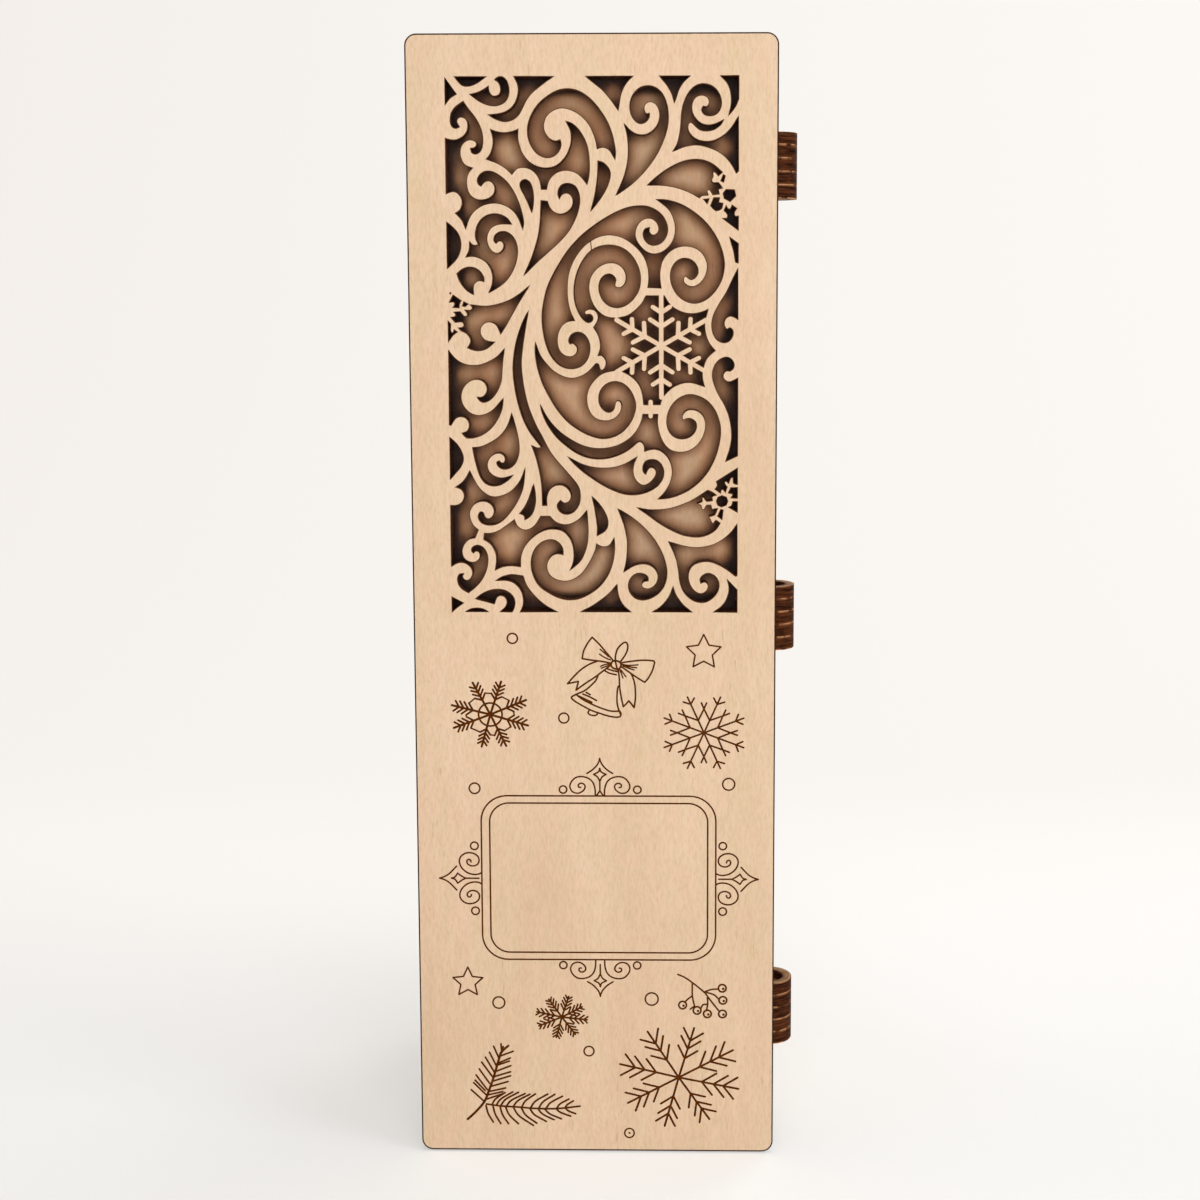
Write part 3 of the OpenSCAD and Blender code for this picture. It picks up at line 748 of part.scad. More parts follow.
module back_panel() {
    inner = inner_x - glue_gap;
    low = ply + glue_gap;
    high = box_h - ply - glue_gap;
    color("#dcbd8a") {
        span([-inner, inner], [back_y - ply, back_y], [low, high]);
        side_fingers_at([-box_w / 2, -inner + little], 0);
        side_fingers_at([inner - little, box_w / 2], 0);
        back_fingers_at([0, low + little], 0);
        back_fingers_at([high - little, box_h], 0);
    }
}

// ---- Closure -----------------------------------------------------------------------------
module magnet_block(z) {
    color("#d8b883") difference() {
        span(
            [-inner_x, -inner_x + block_size],
            [box_front_y, box_front_y + block_t],
            [z - block_size / 2, z + block_size / 2]
        );
        translate([magnet_x, box_front_y - little, z])
            rotate([-90, 0, 0]) cylinder(r = pocket_r, h = pocket_depth + little);
    }
}

module box_magnet(z) {
    color("#b9bcc0") translate([magnet_x, box_front_y + magnet_sink, z])
        rotate([-90, 0, 0]) cylinder(d = magnet_d, h = magnet_t);
}

module door_magnet(z) {
    color("#b9bcc0") translate([magnet_x, door_back_y - magnet_sink - magnet_t, z])
        rotate([-90, 0, 0]) cylinder(d = magnet_d, h = magnet_t);
}

// ---- Hinges ------------------------------------------------------------------------------
// One ring with its tongue, which goes from the ring to the wood that holds it
module hinge_ring(top, i) {
    tongue_y = on_door(i) ? door_tongue_y : body_tongue_y;
    tongue_w = on_door(i) ? door_tongue_w : body_tongue_w;
    color("#5d3a22") translate([0, 0, ring_z(top, i)]) linear_extrude(ring_t) difference() {
        union() {
            translate([axis_x, axis_y]) circle(ring_r);
            translate([tongue_end_x, tongue_y]) square([axis_x - tongue_end_x, tongue_w]);
        }
        translate([axis_x, axis_y]) circle(bore_r);
    }
}

module hinge_pin(top) {
    color("#3a2416") translate([axis_x, axis_y, top - hinge_h])
        cylinder(r = bore_r - pin_fit, h = hinge_h - pin_recess);
}

// ---- The assembly ------------------------------------------------------------------------
front_panel();
door_left_stile();
door_right_stile();
door_top_rail();
door_middle_rail();
door_foot_rail();
door_backing();
left_wall();
right_wall();
top_wall();
bottom_wall();
back_panel();
magnet_block(upper_magnet);  // upper_magnet_block
magnet_block(lower_magnet);  // lower_magnet_block
box_magnet(upper_magnet);  // upper_box_magnet
box_magnet(lower_magnet);  // lower_box_magnet
door_magnet(upper_magnet);  // upper_door_magnet
door_magnet(lower_magnet);  // lower_door_magnet
for (h = [0 : len(HINGES) - 1]) {
    for (i = [1 : rings])
        hinge_ring(hinge_tops[h], i);
    hinge_pin(hinge_tops[h]);
}
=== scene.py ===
import bmesh
import bpy
import math
from math import cos, sin, radians
import numpy as np
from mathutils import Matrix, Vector
from mathutils.geometry import delaunay_2d_cdt


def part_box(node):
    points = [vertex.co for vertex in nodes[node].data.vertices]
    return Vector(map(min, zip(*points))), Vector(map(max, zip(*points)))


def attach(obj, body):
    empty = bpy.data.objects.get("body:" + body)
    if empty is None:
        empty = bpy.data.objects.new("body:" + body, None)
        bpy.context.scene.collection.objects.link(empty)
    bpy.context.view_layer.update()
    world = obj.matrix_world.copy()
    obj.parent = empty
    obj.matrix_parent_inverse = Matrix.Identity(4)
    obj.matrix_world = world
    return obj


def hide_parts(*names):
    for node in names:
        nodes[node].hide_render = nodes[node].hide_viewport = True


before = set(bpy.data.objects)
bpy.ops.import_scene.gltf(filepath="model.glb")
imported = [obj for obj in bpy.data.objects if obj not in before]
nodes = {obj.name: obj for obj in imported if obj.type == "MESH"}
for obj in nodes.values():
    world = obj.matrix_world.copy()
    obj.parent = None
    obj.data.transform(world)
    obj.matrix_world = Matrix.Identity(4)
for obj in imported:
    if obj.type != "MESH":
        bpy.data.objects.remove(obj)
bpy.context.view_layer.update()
MM = 0.001
RING_RADIUS = 7.0 * MM
BORE_RADIUS = 4.25 * MM
RING_PITCH = 3.95 * MM
PAINTED_SHADE_REACH = 5.6 * MM      # how far from the fretwork the painted shade on the board behind it reaches


# ---- Camera ----------------------------------------------------------------------------------

# Fitted to the panel's corners and the hinges as the photo shows them
camera_data = bpy.data.cameras.new("camera")
camera = bpy.data.objects.new("camera", camera_data)
bpy.context.scene.collection.objects.link(camera)
camera.location = (0.0270, -0.5597, 0.2682)
camera.rotation_euler = (radians(83.947), radians(0.087), radians(0.948))
camera_data.sensor_width = 36
camera_data.lens = 51.07
camera_data.shift_x = -0.0459
camera_data.shift_y = -0.1054
camera_data.clip_start = 0.01
bpy.context.scene.camera = camera


# ---- Materials -------------------------------------------------------------------------------

def linear(r, g, b):
    """A colour given as 0 to 255 screen values, as the shader takes it."""
    def one(v):
        v /= 255
        return v / 12.92 if v <= 0.04045 else ((v + 0.055) / 1.055) ** 2.4
    return (one(r), one(g), one(b), 1.0)


class Material:
    """A material whose nodes are added one by one. Places are in the object's own metres."""

    def __init__(self, name, roughness=0.6, specular=0.3, metallic=0.0):
        self.made = bpy.data.materials.new(name)
        self.made.use_nodes = True
        self.tree = self.made.node_tree
        self.shader = self.tree.nodes["Principled BSDF"]
        self.shader.inputs["Roughness"].default_value = roughness
        self.shader.inputs["Specular IOR Level"].default_value = specular
        self.shader.inputs["Metallic"].default_value = metallic
        self.place = self.add("ShaderNodeTexCoord").outputs["Object"]

    def add(self, kind, **settings):
        made = self.tree.nodes.new(kind)
        for key, value in settings.items():
            setattr(made, key, value)
        return made

    def join(self, value, socket):
        if isinstance(value, bpy.types.NodeSocket):
            self.tree.links.new(value, socket)
        else:
            socket.default_value = value

    def stretched(self, scale, shift=(0, 0, 0)):
        made = self.add("ShaderNodeMapping")
        self.join(self.place, made.inputs["Vector"])
        made.inputs["Scale"].default_value = scale
        made.inputs["Location"].default_value = shift
        return made.outputs["Vector"]

    def noise(self, scale, detail=3.0, roughness=0.5, shift=(0, 0, 0), distortion=0.0):
        """Noise with its own scale along each axis, in waves to the metre."""
        made = self.add("ShaderNodeTexNoise")
        self.join(self.stretched(scale, shift), made.inputs["Vector"])
        made.inputs["Scale"].default_value = 1.0
        made.inputs["Detail"].default_value = detail
        made.inputs["Roughness"].default_value = roughness
        made.inputs["Distortion"].default_value = distortion
        return made.outputs["Fac"]

    def ramp(self, value, stops, smooth=False):
        """A colour ramp. Each stop is a place and a grey level or a colour."""
        made = self.add("ShaderNodeValToRGB")
        self.join(value, made.inputs["Fac"])
        made.color_ramp.interpolation = "EASE" if smooth else "LINEAR"
        points = made.color_ramp.elements
        while len(points) < len(stops):
            points.new(0.5)
        for point, (at, colour) in zip(points, stops):
            point.position = at
            point.color = colour if hasattr(colour, "__len__") else (colour, colour, colour, 1)
        return made.outputs["Color"]

    def mix(self, share, first, second, kind="MIX"):
        # The node has sockets for each kind of value: 6, 7 and the output 2 are the colours
        made = self.add("ShaderNodeMix", data_type="RGBA", blend_type=kind)
        self.join(share, made.inputs["Factor"])
        self.join(first, made.inputs[6])
        self.join(second, made.inputs[7])
        return made.outputs[2]

    def tint(self, tone, value, stops, colour):
        """The tone with a colour laid over it, in the share that the stops give for the value."""
        return self.mix(self.ramp(value, stops), tone, linear(*colour))

    def math(self, kind, first, second=0.0):
        made = self.add("ShaderNodeMath", operation=kind)
        self.join(first, made.inputs[0])
        self.join(second, made.inputs[1])
        return made.outputs[0]

    def axis(self, which):
        made = self.add("ShaderNodeSeparateXYZ")
        self.join(self.place, made.inputs["Vector"])
        return made.outputs["XYZ".index(which)]

    def span(self, value, low, high):
        """The value's place between low and high, from 0 to 1."""
        made = self.add("ShaderNodeMapRange")
        self.join(value, made.inputs["Value"])
        made.inputs["From Min"].default_value = low
        made.inputs["From Max"].default_value = high
        return made.outputs["Result"]

    def colour(self, value):
        self.join(value, self.shader.inputs["Base Color"])

    def roughness(self, value):
        self.join(value, self.shader.inputs["Roughness"])

    def bump(self, height, strength, distance):
        made = self.add("ShaderNodeBump")
        self.join(height, made.inputs["Height"])
        made.inputs["Strength"].default_value = strength
        made.inputs["Distance"].default_value = distance
        self.join(made.outputs["Normal"], self.shader.inputs["Normal"])


def grain_scale(grain, across, along):
    """Noise scales for each axis: long waves along the grain's own axis."""
    return tuple(along if a == grain else across for a in "XYZ")


def veneer(name, grain="Z", seed=0, light=(234, 206, 176), dark=(221, 190, 157), shade_near_edges=False):
    """Raw birch: a calm pale face with fine lines along the grain, flecks and slow drifts of tone.

    With painted shade on, an occlusion node darkens the sheet the nearer it lies to other solids,
    such as an opening's edge, and the whole sheet a little: painted shade.
    """
    m = Material(name, roughness=0.62, specular=0.25)
    shift = (seed * 3.1, seed * 1.7, seed * 2.3)
    drift = m.noise(grain_scale(grain, 34, 7), 3, 0.5, shift, 0.4)
    tone = m.tint(linear(*light), drift, [(0.3, 0.0), (0.72, 1.0)], dark)
    warm = m.noise(grain_scale(grain, 18, 9), 2, 0.5, (shift[1], shift[2], shift[0]))
    tone = m.tint(tone, warm, [(0.45, 0.0), (0.7, 0.6)], (231, 198, 168))
    cool = m.noise(grain_scale(grain, 90, 14), 3, 0.55, (shift[2], shift[1], shift[0]), 0.5)
    tone = m.tint(tone, cool, [(0.45, 0.0), (0.68, 0.55)], (226, 201, 164))
    mottle = m.noise(grain_scale(grain, 330, 150), 3, 0.6, (shift[0], shift[2], shift[1]), 0.3)
    tone = m.tint(tone, mottle, [(0.44, 0.0), (0.68, 0.34)], (238, 199, 172))
    fine = m.noise(grain_scale(grain, 1600, 420), 3, 0.65, shift, 0.3)
    tone = m.tint(tone, fine, [(0.34, 0.36), (0.58, 0.0)], (203, 167, 128))
    streaks = m.noise(grain_scale(grain, 360, 88), 4, 0.66, (shift[2], shift[0], shift[1]), 0.5)
    tone = m.tint(tone, streaks, [(0.46, 0.0), (0.74, 0.2)], (212, 177, 138))
    tone = m.tint(tone, streaks, [(0.28, 0.2), (0.46, 0.0)], (240, 214, 184))
    fleck = m.noise(grain_scale(grain, 1500, 230), 1, 0.4, shift)
    where = m.noise(grain_scale(grain, 60, 20), 2, 0.5, (shift[1], shift[0], shift[2]))
    fleck = m.math("MULTIPLY", m.ramp(fleck, [(0.66, 0.0), (0.76, 0.45)]),
                   m.ramp(where, [(0.5, 0.08), (0.7, 1.0)]))
    tone = m.mix(fleck, tone, linear(172, 130, 88))
    # Painted shade: darker where the fretwork lies close, standing in for the shade in its openings
    if shade_near_edges:
        occlusion = m.add("ShaderNodeAmbientOcclusion", samples=20)
        occlusion.inputs["Distance"].default_value = PAINTED_SHADE_REACH
        painted_shade = m.ramp(occlusion.outputs["AO"], [(0.56, (0.025, 0.008, 0.002, 1)),
                                            (0.67, (0.10, 0.05, 0.025, 1)),
                                            (0.76, (0.42, 0.29, 0.205, 1)),
                                            (0.88, (0.64, 0.53, 0.45, 1)),
                                            (0.96, (0.78, 0.73, 0.68, 1)),
                                            (1.0, (0.82, 0.80, 0.77, 1))])
        tone = m.mix(1.0, tone, painted_shade, "MULTIPLY")
    m.colour(tone)
    m.roughness(m.ramp(fine, [(0.3, 0.72), (0.7, 0.56)]))
    m.bump(fine, 0.16, 0.0003)
    return m.made


def burnt_edge(name, thick, low, high, seed=0, deep=(60, 32, 18), pale=(104, 62, 34)):
    """An edge cut by a hot beam: brown, with its plies and with fine ridges through the sheet."""
    m = Material(name, roughness=0.7, specular=0.2)
    shift = (seed * 1.3, seed * 2.9, seed * 0.7)
    ridges = m.noise(grain_scale(thick, 1100, 60), 3, 0.6, shift)
    cloud = m.noise((170, 170, 170), 3, 0.5, shift)
    tone = m.tint(linear(*deep), ridges, [(0.3, 0.0), (0.7, 1.0)], pale)
    tone = m.tint(tone, cloud, [(0.35, 0.0), (0.75, 0.5)], (44, 23, 13))
    depth = m.span(m.axis(thick), low, high)
    plies = m.ramp(depth, [(0.0, 0.35), (0.05, 0.1), (0.30, 0.05), (0.335, 0.75), (0.37, 0.1),
                           (0.63, 0.05), (0.665, 0.75), (0.70, 0.1), (0.95, 0.1), (1.0, 0.35)])
    tone = m.mix(plies, tone, linear(34, 17, 10))
    middle = m.ramp(depth, [(0.36, 0.0), (0.42, 0.4), (0.58, 0.4), (0.64, 0.0)])
    tone = m.mix(middle, tone, linear(122, 78, 45))
    m.colour(tone)
    m.roughness(m.ramp(ridges, [(0.3, 0.8), (0.7, 0.6)]))
    m.bump(ridges, 0.35, 0.0002)
    return m.made


def ring_edge(name, low):
    """The round edge of a stack of rings: dark and burnt, with a paler lip at each joint."""
    m = Material(name, roughness=0.8, specular=0.04)
    lines = m.noise((110, 110, 1300), 4, 0.7)
    cloud = m.noise((240, 240, 700), 3, 0.55, (3, 1, 2))
    tone = m.tint(linear(20, 5, 1), lines, [(0.4, 0.0), (0.64, 1.0)], (92, 48, 25))
    tone = m.tint(tone, cloud, [(0.4, 0.0), (0.7, 0.45)], (104, 56, 26))
    turn = m.math("FRACT", m.math("DIVIDE", m.math("SUBTRACT", m.axis("Z"), low), RING_PITCH))
    plies = m.ramp(turn, [(0.28, 0.0), (0.32, 0.75), (0.36, 0.0),
                          (0.60, 0.0), (0.64, 0.75), (0.68, 0.0)])
    tone = m.mix(plies, tone, linear(24, 9, 4))
    patch = m.noise((420, 420, 160), 3, 0.6)
    joint = m.ramp(turn, [(0.0, 0.9), (0.05, 0.8), (0.10, 0.0), (0.9, 0.0), (0.95, 0.5)])
    lip = m.math("MULTIPLY", joint, m.ramp(patch, [(0.42, 0.0), (0.56, 1.0)]))
    tone = m.mix(lip, tone, linear(212, 150, 104))
    m.colour(tone)
    m.roughness(m.ramp(lines, [(0.3, 0.75), (0.7, 0.5)]))
    m.bump(lines, 0.35, 0.0002)
    return m.made


def ring_face(name, x, y):
    """The flat face of a ring: tan, and browned towards the bore and the outside."""
    m = Material(name, roughness=0.65, specular=0.2)
    grain = m.noise((60, 900, 900), 4, 0.6)
    tone = m.tint(linear(188, 144, 102), grain, [(0.35, 0.0), (0.65, 1.0)], (150, 106, 70))
    across = m.math("SUBTRACT", m.axis("X"), x)
    along = m.math("SUBTRACT", m.axis("Y"), y)
    radius = m.math("SQRT", m.math("ADD", m.math("MULTIPLY", across, across),
                                   m.math("MULTIPLY", along, along)))
    cloud = m.noise((500, 500, 500), 2, 0.5)
    place = m.math("ADD", m.span(radius, BORE_RADIUS, RING_RADIUS),
                   m.math("MULTIPLY", m.math("SUBTRACT", cloud, 0.5), 0.3))
    tone = m.tint(tone, place, [(0.72, 0.0), (0.86, 0.8), (0.94, 0.0)], (222, 180, 134))
    burnt = m.ramp(place, [(0.0, 0.95), (0.2, 0.6), (0.4, 0.15), (0.7, 0.35), (0.86, 0.0),
                           (1.0, 0.85)])
    m.colour(m.mix(burnt, tone, linear(58, 30, 16)))
    m.bump(grain, 0.2, 0.0002)
    return m.made


def engraved(name):
    """The floor of an engraved line: scorched dark brown, uneven along its way."""
    m = Material(name, roughness=0.85, specular=0.04)
    cloud = m.noise((420, 420, 420), 3, 0.6)
    fine = m.noise((2600, 2600, 2600), 2, 0.5)
    tone = m.tint(linear(80, 34, 0), cloud, [(0.3, 0.0), (0.7, 1.0)], (104, 52, 5))
    tone = m.tint(tone, fine, [(0.35, 0.4), (0.65, 0.0)], (52, 20, 2))
    m.colour(tone)
    m.roughness(m.ramp(fine, [(0.3, 0.85), (0.7, 0.65)]))
    m.bump(fine, 0.4, 0.0001)
    return m.made


def scorched_rim(name, pale=(112, 70, 40), deep=(76, 44, 24)):
    """The narrow brown line that the cut leaves on the face along an edge; in the darker tones
    given for the outline it is partly painted shade as well.
    """
    m = Material(name, roughness=0.7, specular=0.1)
    cloud = m.noise((300, 300, 300), 3, 0.6)
    tone = m.tint(linear(*pale), cloud, [(0.3, 0.0), (0.7, 1.0)], deep)
    m.colour(tone)
    m.bump(cloud, 0.2, 0.0001)
    return m.made


def shade_darkened_back(name):
    """The hidden side of the fretwork, painted dark so that it throws little light into the
    openings and deepens their shade: painted shade.
    """
    m = Material(name, roughness=0.8, specular=0.15)
    fine = m.noise((820, 820, 16), 4, 0.6)
    cloud = m.noise((70, 70, 50), 3, 0.6)
    tone = m.tint(linear(74, 46, 28), cloud, [(0.3, 0.0), (0.7, 1.0)], (112, 76, 48))
    tone = m.tint(tone, fine, [(0.35, 0.4), (0.65, 0.0)], (50, 30, 18))
    m.colour(tone)
    m.bump(fine, 0.2, 0.0002)
    return m.made


def dowel(name):
    """A hinge pin: a brown dowel with fine lines along it and darker spots."""
    m = Material(name, roughness=0.6, specular=0.3)
    fine = m.noise((1500, 1500, 40), 3, 0.6)
    ends = m.noise((900, 900, 900), 3, 0.6)
    tone = m.tint(linear(160, 106, 62), fine, [(0.3, 0.0), (0.7, 1.0)], (124, 80, 44))
    tone = m.tint(tone, ends, [(0.45, 0.0), (0.7, 0.5)], (88, 50, 26))
    m.colour(tone)
    m.bump(fine, 0.2, 0.0002)
    return m.made


def magnet(name):
    """Nickel plate, a little uneven in its tone and polish."""
    m = Material(name, roughness=0.25, specular=0.5, metallic=1.0)
    fine = m.noise((1800, 1800, 1800), 3, 0.6)
    cloud = m.noise((260, 260, 260), 2, 0.5)
    m.colour(m.tint(linear(206, 204, 200), cloud, [(0.3, 0.0), (0.7, 1.0)], (184, 181, 176)))
    m.roughness(m.ramp(fine, [(0.3, 0.2), (0.7, 0.38)]))
    m.bump(fine, 0.08, 0.0001)
    return m.made


# ---- Engraved strokes, in millimetres on the panel -------------------------------------------
# A point is (x, z). A third value marks a sharp corner, where the pen stops and turns.

LINE = 0.51
HAIR = 0.45         # folds of the bow
TWIG = 0.6          # needles, leaves and heavy hatching
strokes = []        # (points, width, closed)


def smooth_run(points, closed, step=0.55):
    """A smooth curve through the points, as a list of points."""
    p = [np.array(q[:2], float) for q in points]
    n = len(p)
    if n == 2:
        return [tuple(p[0]), tuple(p[1])]
    out = []
    for i in range(n if closed else n - 1):
        a, b = p[i], p[(i + 1) % n]
        before = p[i - 1] if closed or i else 2 * a - b
        after = p[(i + 2) % n] if closed or i + 2 < n else 2 * b - a
        count = max(1, int(np.ceil(np.linalg.norm(b - a) / step)))
        for k in range(count):
            t = k / count
            out.append(tuple(0.5 * (2 * a + (b - before) * t
                                    + (2 * before - 5 * a + 4 * b - after) * t * t
                                    + (3 * a - before - 3 * b + after) * t ** 3)))
    if not closed:
        out.append(tuple(p[-1]))
    return out


def curve(points, width=LINE, closed=False):
    """A smooth stroke through the points, in one piece from each sharp corner to the next."""
    corners = [i for i, q in enumerate(points) if len(q) > 2]
    if closed and not corners:
        strokes.append((smooth_run(points, True), width, True))
        return
    if closed:
        points = points[corners[0]:] + points[:corners[0] + 1]
    stops = [0] + [i for i in range(1, len(points) - 1) if len(points[i]) > 2] + [len(points) - 1]
    for a, b in zip(stops, stops[1:]):
        strokes.append((smooth_run(points[a:b + 1], False), width, False))


def ring(x, z, r, width=LINE, step=0.4):
    n = max(20, int(2 * math.pi * r / step))
    strokes.append(([(x + r * cos(2 * math.pi * i / n),
                      z + r * sin(2 * math.pi * i / n)) for i in range(n)], width, True))


def dot(x, z, r):
    strokes.append(([(x, z)], 2 * r, False))


def polar(x, z, r, angle):
    """The point at a distance and an angle in degrees from (x, z)."""
    return (x + r * cos(radians(angle)), z + r * sin(radians(angle)))


def star(x, z, outer, inner):
    """A five-pointed star, drawn as its outline."""
    points = [polar(x, z, outer if i % 2 == 0 else inner, 90 + 36 * i) + (1,) for i in range(10)]
    curve(points, closed=True)


def twigs(x, z, angle, at, length, spread, width):
    """A pair of twigs that leave an arm on both sides, at a distance from the flake's middle."""
    root = polar(x, z, at, angle)
    for side in (-1, 1):
        curve([root, polar(root[0], root[1], length, angle + side * spread)], width)


def fern_flake(x, z, arms, ring_r):
    """Arms, each an angle and a length, of four pairs of twigs, with a web between the arms."""
    ring(x, z, ring_r, 0.58)
    tips = []
    for angle, length in arms:
        curve([(x, z), polar(x, z, length, angle)], 0.72)
        for share, twig in ((0.45, 0.21), (0.57, 0.21), (0.69, 0.20), (0.81, 0.18)):
            twigs(x, z, angle, share * length, twig * length, 48, 0.62)
        root = polar(x, z, 0.45 * length, angle)
        tips.append([polar(root[0], root[1], 0.21 * length, angle + side * 48) for side in (-1, 1)])
    for i in range(len(arms)):
        curve([tips[i][0], tips[(i + 1) % len(arms)][1]], 0.48)


def forked_flake(x, z):
    """Eight forked arms with a forked twig between each two. It is a little wider than tall."""
    def at(r, angle, side=0.0):
        a = radians(angle)
        return (x + 1.06 * (r * cos(a) - side * sin(a)),
                z + 0.97 * (r * sin(a) + side * cos(a)))

    for i in range(8):
        angle = 22.5 + 45 * i
        middle = angle + 22.5
        fork, meet = at(9.9, angle), at(7.7, middle)
        for line in ([at(0, angle), at(12.4, angle)],
                     [fork, at(11.4, angle, 1.7)], [fork, at(11.4, angle, -1.7)],
                     [at(4.3, angle), meet], [at(4.3, angle + 45), meet],
                     [meet, at(9.6, middle, 0.75)], [meet, at(9.6, middle, -0.75)]):
            curve(line, 0.56)


def leafy_flake(x, z, arms):
    """Arms of four close pairs of short twigs."""
    for angle, length in arms:
        curve([(x, z), polar(x, z, length, angle)], TWIG)
        for k, twig in enumerate((2.3, 2.2, 2.0, 1.5)):
            at = 2.3 + (length - 1.0 - 2.3) * k / 3
            twigs(x, z, angle, at, twig, 42, 0.56)


def branched_flake(x, z, arms):
    """Arms of three pairs of long twigs."""
    for angle, length in arms:
        curve([(x, z), polar(x, z, length, angle)], 0.68)
        for share in (0.385, 0.58, 0.74):
            twigs(x, z, angle, share * length, 0.28 * length, 42, 0.66)


def ornament(place, stem, mirrored):
    """A stem, and lines that are drawn on both sides of it. place gives a point's own place."""
    for side in (1, -1):
        for line in mirrored:
            curve([place(side * p[0], p[1]) + tuple(p[2:]) for p in line])
    curve([place(*p) for p in stem])


def rounded_frame(x0, x1, z0, z1, r, steps=14):
    """A rectangle with round corners, each of them in so many steps."""
    points = []
    for cx, cz, start in ((x1 - r, z1 - r, 0), (x0 + r, z1 - r, 90),
                          (x0 + r, z0 + r, 180), (x1 - r, z0 + r, 270)):
        points += [polar(cx, cz, r, start + 90 * k / steps) for k in range(steps + 1)]
    strokes.append((points, LINE, True))


# Loose rings
for x, z, r in ((-25.0, 163.8, 1.55), (-9.5, 139.1, 1.55), (-37.1, 117.0, 1.65),
                (40.9, 118.5, 1.85), (-30.4, 48.6, 1.85), (17.2, 50.0, 2.0), (-2.4, 33.0, 1.55),
                (10.15, 6.3, 1.5), (-9.9, 116.7, 1.15), (12.9, 116.7, 1.15), (-10.2, 60.8, 1.15),
                (12.7, 60.8, 1.15), (-37.4, 98.8, 1.2), (-37.3, 78.1, 1.2), (39.15, 99.0, 1.15),
                (39.15, 78.2, 1.2)):
    ring(x, z, r)
dot(10.15, 6.3, 0.35)

star(33.2, 159.6, 5.5, 2.75)
star(-39.95, 55.1, 4.9, 2.35)

# The framed field, which is left bare, and the scroll ornaments on its four sides
rounded_frame(-35.2, 37.0, 62.6, 114.7, 8)
rounded_frame(-32.6, 34.5, 64.9, 112.4, 6)
upright_stem = [(0, 4.6), (0, 1.6)]
upright_lines = [
    [(3.95, 7.1), (2.4, 8.1), (1.0, 9.5), (0.3, 10.7), (0, 11.8, 1)],
    [(0, 8.7, 1), (0.4, 7.6), (1.9, 6.8, 1), (0.7, 6.0), (0, 4.6)],
    [(1.4, 0.3), (1.5, 2.3), (2.1, 4.2), (3.4, 5.5), (5.4, 6.1), (7.3, 5.8), (8.7, 4.5),
     (9.2, 2.9), (8.6, 1.5), (7.4, 0.9), (6.1, 1.0), (4.9, 1.9), (4.5, 3.0), (5.0, 3.8),
     (5.9, 4.0), (6.6, 3.5), (6.5, 2.8), (5.9, 2.7)]]
upright_foot = [(0, 1.6), (0.9, 0.3)]
side_stem = [(0, 5.0), (0, 0.9)]
side_lines = [
    [(3.8, 7.8), (1.5, 10.0), (0.5, 11.6), (0, 13.1, 1)],
    [(0, 9.4, 1), (0.4, 8.3), (1.6, 7.5, 1), (0.7, 6.3), (0, 5.0)],
    [(1.8, 0.1), (1.4, 0.8), (1.2, 2.3), (1.7, 4.3), (3.2, 6.1), (5.2, 6.9), (6.9, 6.4),
     (8.0, 4.8), (8.0, 2.8), (7.0, 1.2), (5.5, 0.8), (4.3, 1.5), (3.9, 3.0), (4.5, 4.3),
     (5.4, 4.6), (6.0, 4.1), (5.8, 3.5), (5.2, 3.3)]]
ornament(lambda v, u: (1.4 + v, 114.7 + u), upright_stem, upright_lines + [upright_foot])
ornament(lambda v, u: (1.25 + v, 62.6 - u), upright_stem, upright_lines)
ornament(lambda v, u: (-35.2 - u, 88.5 + v), side_stem, side_lines)
ornament(lambda v, u: (37.0 + u, 88.5 + v), side_stem, side_lines)

# Snowflakes
fern_flake(-32.0, 140.15, [(71.6, 10.8), (22.5, 11.9), (-16.5, 12.0), (-64, 10.9), (-105.3, 10.4),
                           (-159.4, 12.0), (166.2, 12.1), (118, 11.2)], 3.6)
forked_flake(33.3, 134.6)
leafy_flake(-10.8, 44.0, [(72, 7.0), (28, 7.2), (-6, 7.9), (-53, 7.0), (-105, 6.8), (-158, 7.7),
                          (168, 7.9), (125, 7.0)])
branched_flake(25.6, 24.6, [(73.4, 16.8), (28, 19.1), (-11, 19.0), (-54.8, 16.6), (-105.5, 16.5),
                            (-152, 18.0), (167, 18.8), (123.2, 17.7)])

# Fir twig
curve([(-40.6, 10.5), (-38.0, 13.0), (-35.3, 16.3), (-33.8, 20.0), (-32.4, 24.0), (-30.5, 30.5),
       (-29.7, 32.6), (-27.6, 34.6)], 0.78)
curve([(-34.6, 15.5), (-30, 14.9), (-25, 14.6), (-20, 14.2), (-14, 14.1), (-10, 14.4),
       (-5.3, 15.0)], 0.62)
for a, b in (((-30.2, 31.2), (-26.1, 32.8)), ((-30.9, 28.9), (-27.0, 30.6)),
             ((-31.0, 28.3), (-27.3, 29.6)), ((-31.6, 26.2), (-26.9, 28.1)),
             ((-32.1, 24.5), (-27.0, 26.1)), ((-32.6, 23.0), (-27.0, 24.8)),
             ((-33.2, 21.3), (-27.8, 22.9)), ((-33.8, 19.6), (-28.6, 20.8)),
             ((-34.2, 18.5), (-29.5, 19.6)), ((-34.9, 17.0), (-29.5, 18.9)),
             ((-30.6, 30.6), (-32.2, 34.4)), ((-31.5, 28.2), (-33.5, 32.4)),
             ((-32.1, 26.0), (-34.8, 30.8)), ((-32.7, 24.5), (-36.0, 29.2)),
             ((-33.6, 22.3), (-36.8, 27.0)), ((-34.4, 20.3), (-37.8, 25.0)),
             ((-35.0, 19.9), (-38.1, 23.3)), ((-34.8, 18.6), (-38.6, 22.5)),
             ((-35.6, 16.6), (-39.4, 20.2)), ((-29.7, 32.9), (-29.9, 35.2)),
             ((-29.6, 32.8), (-29.2, 34.3))):
    curve([a, b], TWIG)
